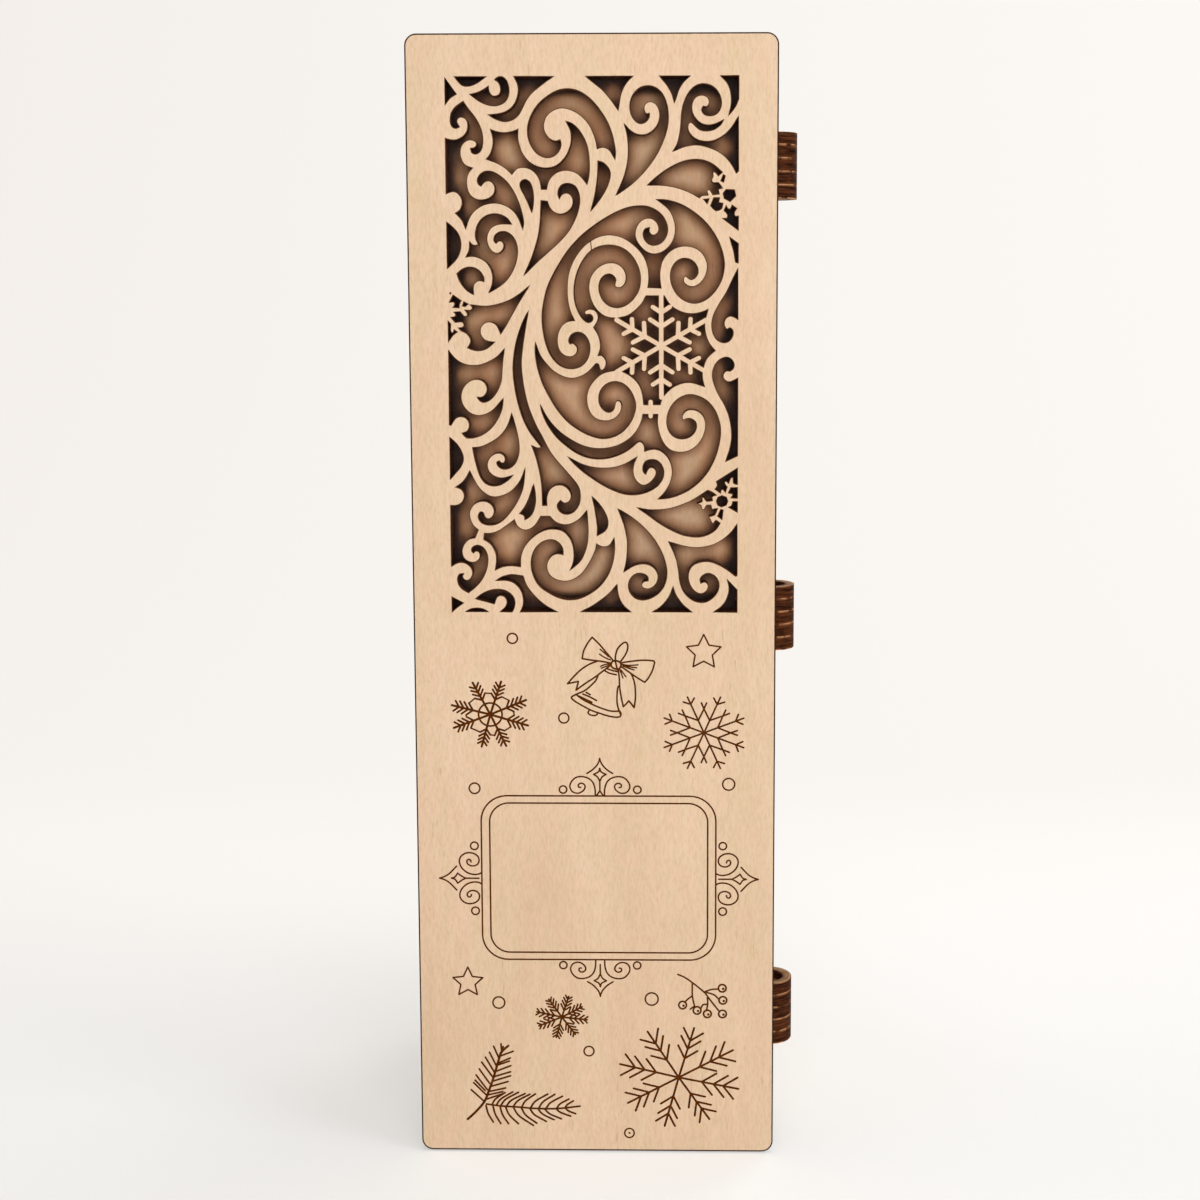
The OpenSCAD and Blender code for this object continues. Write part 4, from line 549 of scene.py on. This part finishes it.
for a, b in (((-33.0, 15.2), (-28.8, 19.3)), ((-31.6, 15.1), (-26.4, 19.5)),
             ((-30.2, 15.0), (-24.6, 19.4)), ((-28.4, 14.9), (-22.5, 19.0)),
             ((-26.2, 14.8), (-21.0, 18.8)), ((-23.6, 14.6), (-19.3, 18.9)),
             ((-20.8, 14.4), (-15.4, 18.9)), ((-18.3, 14.2), (-13.2, 18.8)),
             ((-16.0, 14.2), (-10.8, 18.2)), ((-12.6, 14.3), (-8.8, 17.3)),
             ((-10.0, 14.4), (-7.4, 16.7)), ((-34.8, 15.0), (-32.6, 9.6)),
             ((-32.6, 14.9), (-30.2, 9.1)), ((-30.4, 14.8), (-27.8, 9.1)),
             ((-28.7, 14.7), (-24.7, 9.1)), ((-26.3, 14.6), (-20.0, 8.6)),
             ((-23.7, 14.3), (-18.9, 9.3)), ((-21.0, 14.0), (-15.9, 9.9)),
             ((-18.4, 13.9), (-13.5, 10.5)), ((-16.3, 13.9), (-11.2, 10.8)),
             ((-12.8, 14.1), (-8.3, 11.7)), ((-9.9, 14.3), (-6.7, 12.5))):
    middle = (a[0] + 0.29 * (b[0] - a[0]), a[1] + 0.48 * (b[1] - a[1]))
    curve([a, middle, b], 0.62)

# Berry twig
for line in ([(25.3, 58.0), (27.5, 57.0), (29.9, 55.3), (33.5, 52.3), (35.0, 50.3), (36.5, 48.3),
              (38.3, 46.0)], [(29.8, 55.1), (29.8, 51.5), (30.1, 49.5), (30.5, 47.9)],
             [(29.8, 51.1), (28.4, 50.0), (27.4, 49.0)], [(33.6, 52.4), (35.8, 53.2), (37.9, 53.3)],
             [(34.0, 52.3), (36.5, 51.5), (38.0, 50.1)], [(34.5, 50.5), (34.6, 48.5), (34.2, 46.3)],
             [(34.4, 48.4), (33.1, 48.2), (32.4, 46.9)], [(29.2, 46.8), (30.2, 47.6)]):
    curve(line, 0.54)
for x, z in ((26.8, 48.1), (31.3, 46.4), (34.5, 45.3), (39.2, 45.3), (39.1, 53.6), (39.3, 49.7)):
    ring(x, z, 1.2, 0.58)
    dot(x + 0.3, z - 0.2, 0.42)

# Bell with its bow
BELL = 0.54
curve([(5.5, 157.2), (3.3, 159.8), (1.5, 162.0), (-0.7, 164.2, 1), (-2.0, 162.5), (-3.3, 160.0),
       (-3.8, 157.6, 1), (-1.5, 157.2), (1.0, 156.9), (3.5, 156.5), (5.2, 156.1)], BELL)
curve([(1.7, 160.5), (3.2, 159.2), (4.2, 158.2)], HAIR)
curve([(1.5, 159.0), (3.0, 158.0), (4.8, 157.2)], HAIR)
curve([(0.8, 156.8), (-1.5, 155.9), (-4.0, 154.3), (-6.2, 152.2), (-8.3, 149.8, 1), (-6.5, 150.2),
       (-5.0, 150.5, 1), (-5.3, 149.2), (-5.7, 147.8, 1), (-3.0, 149.8), (0.0, 151.8), (3.0, 154.1),
       (5.0, 155.6)], BELL)
curve([(1.8, 155.2), (3.0, 155.7), (4.5, 156.0)], HAIR)
curve([(2.0, 154.6), (3.5, 155.2), (4.9, 155.7)], HAIR)
curve([(6.3, 156.8), (6.4, 158.6), (7.0, 160.6), (8.2, 162.0), (9.4, 162.7), (10.1, 161.8),
       (9.9, 160.0), (9.0, 158.2), (7.7, 156.5)], BELL)
curve([(7.9, 156.3), (10.5, 156.7), (14.0, 157.1), (16.5, 157.1), (18.0, 156.9, 1),
       (18.3, 156.4, 1), (17.6, 154.0), (16.3, 151.5), (15.2, 150.3, 1), (12.5, 152.0),
       (10.0, 153.8), (8.0, 155.2)], BELL)
for line in ([(8.2, 155.9), (10.5, 155.5), (13.2, 155.7)],
             [(8.5, 155.6), (11.0, 155.0), (12.8, 154.8)],
             [(8.7, 155.3), (10.5, 154.6), (12.0, 154.1)]):
    curve(line, HAIR)
curve([(5.2, 156.5), (6.3, 157.0), (7.8, 156.4), (8.0, 155.3), (7.2, 154.3), (5.6, 154.7),
       (5.0, 155.6)], 0.6, True)
curve([(6.3, 156.9), (6.8, 154.6)], BELL)
curve([(3.2, 153.8), (4.5, 153.1), (6.6, 152.6)], BELL)
curve([(4.0, 154.4), (5.5, 153.9), (7.0, 153.6)], BELL)
curve([(7.2, 154.0), (7.5, 151.5), (7.6, 149.0), (8.0, 146.0), (8.7, 142.7, 1), (9.6, 143.6),
       (10.4, 144.5, 1), (11.2, 143.5), (12.0, 142.4, 1), (12.4, 145.5), (12.3, 149.0),
       (11.8, 151.3), (11.1, 153.0)], BELL)
curve([(7.7, 154.0), (8.2, 152.8), (8.6, 151.6)], HAIR)
curve([(8.0, 154.1), (8.8, 153.0), (9.5, 152.0)], HAIR)
curve([(1.0, 152.3), (0.3, 150.8), (-1.2, 149.2), (-3.0, 147.7), (-5.2, 146.7), (-6.8, 145.9),
       (-7.1, 145.3), (-6.0, 144.3), (-3.5, 142.8), (-1.0, 141.5), (1.5, 140.6), (4.5, 139.7),
       (7.0, 139.4), (7.9, 139.9), (7.9, 140.8), (7.4, 141.5)], BELL)
curve([(-5.4, 146.2), (-3.5, 144.8), (-1.0, 143.5), (2.0, 142.2), (5.0, 141.3), (7.4, 141.3)], BELL)
curve([(7.6, 149.2), (7.1, 148.8), (6.8, 146.5), (6.8, 144.0), (7.2, 142.0), (7.8, 140.4)], BELL)
curve([(-2.6, 147.1), (-1.4, 146.4)], BELL)
curve([(-3.6, 146.6), (-1.5, 145.7), (0.5, 144.6)], BELL)
curve([(-4.8, 145.9), (-0.9, 144.0)], TWIG)
curve([(-1.7, 141.6), (-2.1, 140.8), (-1.4, 140.1), (0.0, 139.9), (0.7, 140.3), (0.8, 140.8)], BELL)

# A pinhole and a hairline crack in the fretwork
dot(-42.4, 268.2, 0.35)
curve([(-0.5, 283.5), (-0.3, 281.0)], 0.3)


# ---- The front panel with its engraving ------------------------------------------------------

# Material slots of the engraved panel
FACE, EDGE, GROOVE, RIM, BACK, OUTLINE = range(6)
FACING = 0.9        # a face whose normal has less than this along the thickness is an edge
SHORTEST = 0.03     # points of a stroke that lie closer together are one
SHARPEST = 0.55     # no bend lengthens an offset to more than one 0.55th of it
INSIDE_ONLY = 1     # the triangulation keeps only what lies inside a face
SAME_POINT = 1e-4   # its points that lie closer together are one
WELD = 3e-6         # metres
ON_FACE = 2e-6      # metres


def loops_of(edges):
    """Directed edges chained into closed loops."""
    following = {}
    for a, b in edges:
        following.setdefault(a, []).append(b)
    loops = []
    while following:
        start = next(iter(following))
        loop, here = [], start
        while True:
            loop.append(here)
            nexts = following[here]
            there = nexts.pop()
            if not nexts:
                del following[here]
            here = there
            if here == start:
                break
        loops.append(loop)
    return loops


def area(points):
    x, z = np.array(points, float)[:, :2].T
    return 0.5 * float(np.sum(x * np.roll(z, -1) - np.roll(x, -1) * z))


def offsets(points, closed):
    """For each point of a line, the unit normal to its left, longer at a bend to keep the width."""
    p = np.array(points, float)
    d = np.roll(p, -1, 0) - p
    if not closed:
        d[-1] = d[-2]
    d /= np.linalg.norm(d, axis=1)[:, None]
    before = np.roll(d, 1, 0)
    if not closed:
        before[0] = d[0]
    n1 = np.stack([-before[:, 1], before[:, 0]], 1)
    n2 = np.stack([-d[:, 1], d[:, 0]], 1)
    n = n1 + n2
    length = np.linalg.norm(n, axis=1)
    n /= np.maximum(length, 1e-6)[:, None]
    return n / np.clip((n * n2).sum(1), SHARPEST, 1)[:, None]


def welded_triangles(mesh):
    """The mesh's points, each of them once, and its triangles as rows of their numbers."""
    flat = np.zeros(len(mesh.vertices) * 3, np.float32)
    mesh.vertices.foreach_get("co", flat)
    co = flat.astype(np.float64).reshape(-1, 3)
    mesh.calc_loop_triangles()
    tris = np.zeros(len(mesh.loop_triangles) * 3, np.int32)
    mesh.loop_triangles.foreach_get("vertices", tris)
    tris = tris.reshape(-1, 3)
    keys = {}
    microns = np.round(co * 1e6).astype(np.int64).tolist()
    weld = np.array([keys.setdefault(tuple(k), len(keys)) for k in microns])
    first = np.zeros(len(keys), np.int64)
    first[weld] = np.arange(len(co))
    return co[first], weld[tris]


def outlines_of(co, front_tris):
    """The outlines of the front in millimetres, the largest first.

    They are the edges that only one triangle of the front has.
    """
    directed = set()
    for a, b, c in front_tris.tolist():
        directed |= {(a, b), (b, c), (c, a)}
    loops = [[(co[i, 0] / MM, co[i, 2] / MM) for i in loop]
             for loop in loops_of([e for e in directed if (e[1], e[0]) not in directed])]
    loops.sort(key=lambda loop: -abs(area(loop)))
    return loops


class Drawing:
    """Flat faces that may overlap, each of a kind: outer, hole, outline, rim or line."""

    def __init__(self):
        self.points, self.faces, self.kinds = [], [], []

    def face(self, points, kind):
        start = len(self.points)
        self.points.extend(points)
        self.faces.append(list(range(start, start + len(points))))
        self.kinds.append(kind)

    def outline(self, loop, outer, width):
        """The loop's own face, and a band along its inside (outer) or its outside (a hole)."""
        if area(loop) < 0:
            loop = loop[::-1]
        start = len(self.points)
        self.face(loop, "outer" if outer else "hole")
        inward = offsets(loop, True) * (width if outer else -width)
        inner = len(self.points)
        self.points.extend([tuple(np.array(p) + o) for p, o in zip(loop, inward)])
        n = len(loop)
        for i in range(n):
            j = (i + 1) % n
            quad = [start + i, start + j, inner + j, inner + i]
            self.faces.append(quad if outer else quad[::-1])
            self.kinds.append("outline" if outer else "rim")

    def stroke(self, points, width, closed):
        """A line of the pen, with round ends, or a dot where it is one point."""
        half = width / 2
        if len(points) == 1:
            x, z = points[0]
            self.face([polar(x, z, half, 360 * i / 12) for i in range(12)], "line")
            return
        kept = [points[0]]
        for p in points[1:]:
            if math.dist(p, kept[-1]) > SHORTEST:
                kept.append(p)
        if closed and math.dist(kept[0], kept[-1]) < SHORTEST:
            kept.pop()
        start = len(self.points)
        for p, o in zip(kept, offsets(kept, closed) * half):
            self.points += [(p[0] - o[0], p[1] - o[1]), (p[0] + o[0], p[1] + o[1])]
        n = len(kept)
        for i in range(n if closed else n - 1):
            a, b = start + 2 * i, start + 2 * ((i + 1) % n)
            self.faces.append([a, b, b + 1, a + 1])
            self.kinds.append("line")
        if not closed:
            for x, z in (kept[0], kept[-1]):
                self.face([polar(x, z, half, 360 * i / 10 + 7) for i in range(10)], "line")

    def triangles(self):
        """The points of one common triangulation, and its triangles on the panel by kind.

        Where faces overlap, a line goes before a rim, and a rim before the outline.
        """
        out, _, out_faces, _, _, origin = delaunay_2d_cdt(
            [Vector(v) for v in self.points], [], self.faces, INSIDE_ONLY, SAME_POINT, True)
        groups = {"plain": [], "line": [], "rim": [], "outline": []}
        for tri, sources in zip(out_faces, origin):
            found = {self.kinds[s] for s in sources}
            if "outer" not in found or "hole" in found:
                continue
            kind = next((k for k in ("line", "rim", "outline") if k in found), "plain")
            groups[kind].append(tuple(tri))
        return [(v[0], v[1]) for v in out], groups


def panel_with_engraving(node, depth, rim, outline_scorch_and_shade):
    """The panel's own shape, with the strokes sunk into its front and brown bands on its edges."""
    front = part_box(node)[0].y
    co, tris = welded_triangles(nodes[node].data)
    on_front = (np.abs(co[tris][:, :, 1] - front) < ON_FACE).all(1)
    drawing = Drawing()
    for k, loop in enumerate(outlines_of(co, tris[on_front])):
        drawing.outline(loop, k == 0, rim if k else outline_scorch_and_shade)
    for points, width, closed in strokes:
        drawing.stroke(points, width, closed)
    flat, groups = drawing.triangles()

    coords, index = [], {}

    def vertex(v, sunk):
        key = (v, sunk)
        if key not in index:
            index[key] = len(coords)
            coords.append((flat[v][0] * MM, front + (depth * MM if sunk else 0), flat[v][1] * MM))
        return index[key]

    polygons, slots = [], []
    for kind, slot in (("plain", FACE), ("line", GROOVE), ("rim", RIM), ("outline", OUTLINE)):
        for tri in groups[kind]:
            polygons.append([vertex(v, slot == GROOVE) for v in tri])
            slots.append(slot)
    # The walls of the grooves
    surface = {(t[i], t[(i + 1) % 3]) for kind in ("plain", "rim", "outline")
               for t in groups[kind] for i in range(3)}
    for t in groups["line"]:
        for i in range(3):
            a, b = t[i], t[(i + 1) % 3]
            if (b, a) in surface:
                polygons.append([vertex(b, False), vertex(b, True),
                                 vertex(a, True), vertex(a, False)])
                slots.append(GROOVE)
    # The rest of the panel, as it is in the CAD
    start = len(coords)
    coords.extend([tuple(p) for p in co])
    for t in tris[~on_front].tolist():
        p = co[t]
        normal = np.cross(p[1] - p[0], p[2] - p[0])
        polygons.append([start + i for i in t])
        slots.append(BACK if abs(normal[1]) > FACING * np.linalg.norm(normal) else EDGE)

    made = bpy.data.meshes.new("engraved_front")
    made.from_pydata(coords, [], polygons)
    made.polygons.foreach_set("material_index", np.array(slots, np.int32))
    piece = bpy.data.objects.new("engraved_front", made)
    bpy.context.scene.collection.objects.link(piece)
    bm = bmesh.new()
    bm.from_mesh(made)
    bmesh.ops.remove_doubles(bm, verts=bm.verts, dist=WELD)
    bmesh.ops.recalc_face_normals(bm, faces=bm.faces)
    bm.to_mesh(made)
    bm.free()
    made.polygons.foreach_set("use_smooth", [True] * len(made.polygons))
    made.set_sharp_from_angle(angle=radians(35))
    return piece


low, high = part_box("front_panel")
# The dark band along the outline is partly the cut's scorch and partly painted shade of the edge
# and of the panel's contact with the floor
engraved_front = panel_with_engraving("front_panel", depth=0.1, rim=0.22, outline_scorch_and_shade=0.41)
for m in (veneer("front_face", "Z", 1),
          burnt_edge("front_edge", "Y", low.y, high.y, 1, (48, 23, 12), (108, 58, 32)),
          engraved("engraved_line"),
          scorched_rim("scorched_rim"),
          # painted shade: the fretwork's hidden back is dark to deepen the shade in the openings
          shade_darkened_back("front_back"),
          # darker outline band: scorch and painted shade
          scorched_rim("scorched_and_shaded_outline", (62, 36, 21), (38, 21, 12))):
    engraved_front.data.materials.append(m)
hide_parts("front_panel")
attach(engraved_front, "door")


# ---- The other pieces of sheet: pale faces and burnt edges -----------------------------------

def dress(name, thick, materials):
    """Materials: the face towards the axis's low end, the one towards its high end, the edge."""
    mesh = nodes[name].data
    mesh.materials.clear()
    for m in materials:
        mesh.materials.append(m)
    which = "XYZ".index(thick)
    for p in mesh.polygons:
        n = p.normal[which]
        p.material_index = 2 if abs(n) < FACING else (0 if n < 0 else 1)


def sheet_piece(name, thick, grain, seed):
    """A board with its own grain on both faces and burnt edges."""
    low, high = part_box(name)
    i = "XYZ".index(thick)
    face = veneer(name + "_face", grain, seed)
    dress(name, thick, (face, face, burnt_edge(name + "_edge", thick, low[i], high[i], seed)))


for k, name in enumerate(("door_left_stile", "door_right_stile", "door_top_rail",
                          "door_middle_rail", "door_foot_rail", "back_panel")):
    sheet_piece(name, "Y", "Z", 3 + k)
for k, name in enumerate(("left_wall", "right_wall")):
    sheet_piece(name, "X", "Z", 10 + k)
for k, name in enumerate(("top_wall", "bottom_wall")):
    sheet_piece(name, "Z", "X", 14 + k)
for k, name in enumerate(("upper_magnet_block", "lower_magnet_block")):
    sheet_piece(name, "Y", "Z", 17 + k)
low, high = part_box("door_backing")
# The backing's front carries painted shade near the fretwork's edges
dress("door_backing", "Y",
      (veneer("backing_front", "Z", 20, (237, 187, 145), (225, 172, 129), shade_near_edges=True),
       veneer("backing_back", "Z", 21),
       burnt_edge("backing_edge", "Y", low.y, high.y, 20)))


def one_material(name, material):
    nodes[name].data.materials.clear()
    nodes[name].data.materials.append(material)


nickel = magnet("nickel")
for name in ("upper_box_magnet", "lower_box_magnet", "upper_door_magnet", "lower_door_magnet"):
    one_material(name, nickel)

pin_wood = dowel("pin_wood")
for where in ("upper", "middle", "lower"):
    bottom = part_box(where + "_hinge_ring_5")[0].z
    low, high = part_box(where + "_hinge_pin")
    face = ring_face(where + "_ring_face", (low.x + high.x) / 2, (low.y + high.y) / 2)
    edge = ring_edge(where + "_ring_edge", bottom)
    for i in range(1, 6):
        dress(f"{where}_hinge_ring_{i}", "Z", (face, face, edge))
    one_material(where + "_hinge_pin", pin_wood)


# ---- Floor, backdrop and light ---------------------------------------------------------------

FLOOR_FRONT, FLOOR_BACK, BEND, WALL_TOP, HALF_WIDTH = -3.0, 0.5, 0.9, 4.0, 4.0


def sweep():
    """A floor that curves up into a wall behind the object."""
    profile = [(FLOOR_FRONT, 0.0), (FLOOR_BACK, 0.0)]
    profile += [(FLOOR_BACK + BEND * sin(radians(a)), BEND - BEND * cos(radians(a)))
                for a in range(5, 91, 5)]
    profile += [(FLOOR_BACK + BEND, WALL_TOP)]
    coords = [(x, y, z) for y, z in profile for x in (-HALF_WIDTH, HALF_WIDTH)]
    mesh = bpy.data.meshes.new("studio_sweep")
    mesh.from_pydata(coords, [], [(2 * i, 2 * i + 1, 2 * i + 3, 2 * i + 2)
                                  for i in range(len(profile) - 1)])
    mesh.polygons.foreach_set("use_smooth", [True] * len(mesh.polygons))
    floor = bpy.data.objects.new("studio_sweep", mesh)
    bpy.context.scene.collection.objects.link(floor)
    m = Material("studio_white", roughness=0.9, specular=0.1)
    # The wall shows a glow that is a little darker to the left, which is painted shade, and the
    # floor keeps the object's shadow
    across = m.ramp(m.span(m.axis("X"), -0.7, 0.7),
                    [(0.0, linear(244, 239, 234)), (1.0, linear(253, 250, 246))])
    glow = m.add("ShaderNodeEmission")
    m.join(across, glow.inputs["Color"])
    wall = m.ramp(m.span(m.axis("Y"), -0.05, 0.4), [(0.0, 0.35), (1.0, 1.0)], smooth=True)
    # Low on the floor the glow is stronger, for it is a smaller share of what shows there
    m.join(m.math("SUBTRACT", 1.54, m.math("MULTIPLY", wall, 0.54)), glow.inputs["Strength"])
    ray = m.add("ShaderNodeLightPath")
    m.colour(m.mix(ray.outputs["Is Diffuse Ray"], linear(239, 241, 241), linear(205, 202, 198)))
    seen = m.math("MAXIMUM", ray.outputs["Is Camera Ray"], ray.outputs["Is Glossy Ray"])
    blend = m.add("ShaderNodeMixShader")
    m.join(m.math("MULTIPLY", seen, wall), blend.inputs[0])
    m.join(m.shader.outputs[0], blend.inputs[1])
    m.join(glow.outputs[0], blend.inputs[2])
    m.join(blend.outputs[0], m.tree.nodes["Material Output"].inputs["Surface"])
    mesh.materials.append(m.made)


sweep()

WORLD_LIGHT, WORLD_SEEN = 0.12, 0.98
world = bpy.data.worlds.new("studio")
bpy.context.scene.world = world
world.use_nodes = True
background = world.node_tree.nodes["Background"]
background.inputs["Color"].default_value = (1.0, 0.98, 0.95, 1)
# The world lights the object faintly, and shows as pale as the wall where a view goes past it
rays = world.node_tree.nodes.new("ShaderNodeLightPath")
level = world.node_tree.nodes.new("ShaderNodeMath")
level.operation = "MULTIPLY_ADD"
world.node_tree.links.new(rays.outputs["Is Camera Ray"], level.inputs[0])
level.inputs[1].default_value = WORLD_SEEN - WORLD_LIGHT
level.inputs[2].default_value = WORLD_LIGHT
world.node_tree.links.new(level.outputs[0], background.inputs["Strength"])


def lamp(name, place, target, width, height, power):
    data = bpy.data.lights.new(name, "AREA")
    data.shape = "RECTANGLE"
    data.size = width
    data.size_y = height
    data.energy = power
    made = bpy.data.objects.new(name, data)
    made.location = place
    made.rotation_euler = (Vector(target) - Vector(place)).to_track_quat("-Z", "Y").to_euler()
    bpy.context.scene.collection.objects.link(made)


lamp("front_box", (0.2, -1.3, 0.38), (0, 0, 0.15), 1.0, 0.8, 11.8)
lamp("right_box", (1.4, -0.7, 0.9), (0, 0, 0.17), 0.7, 0.7, 6.5)
lamp("top_box", (0.1, -0.2, 1.7), (0, 0, 0.1), 0.9, 0.9, 9.5)
lamp("back_box", (0.85, 1.0, 0.95), (0, 0, 0.17), 0.7, 0.7, 5)
lamp("left_box", (-1.4, 0.45, 0.45), (0, 0, 0.17), 0.7, 0.7, 2.5)

bpy.context.scene.view_settings.view_transform = "Standard"
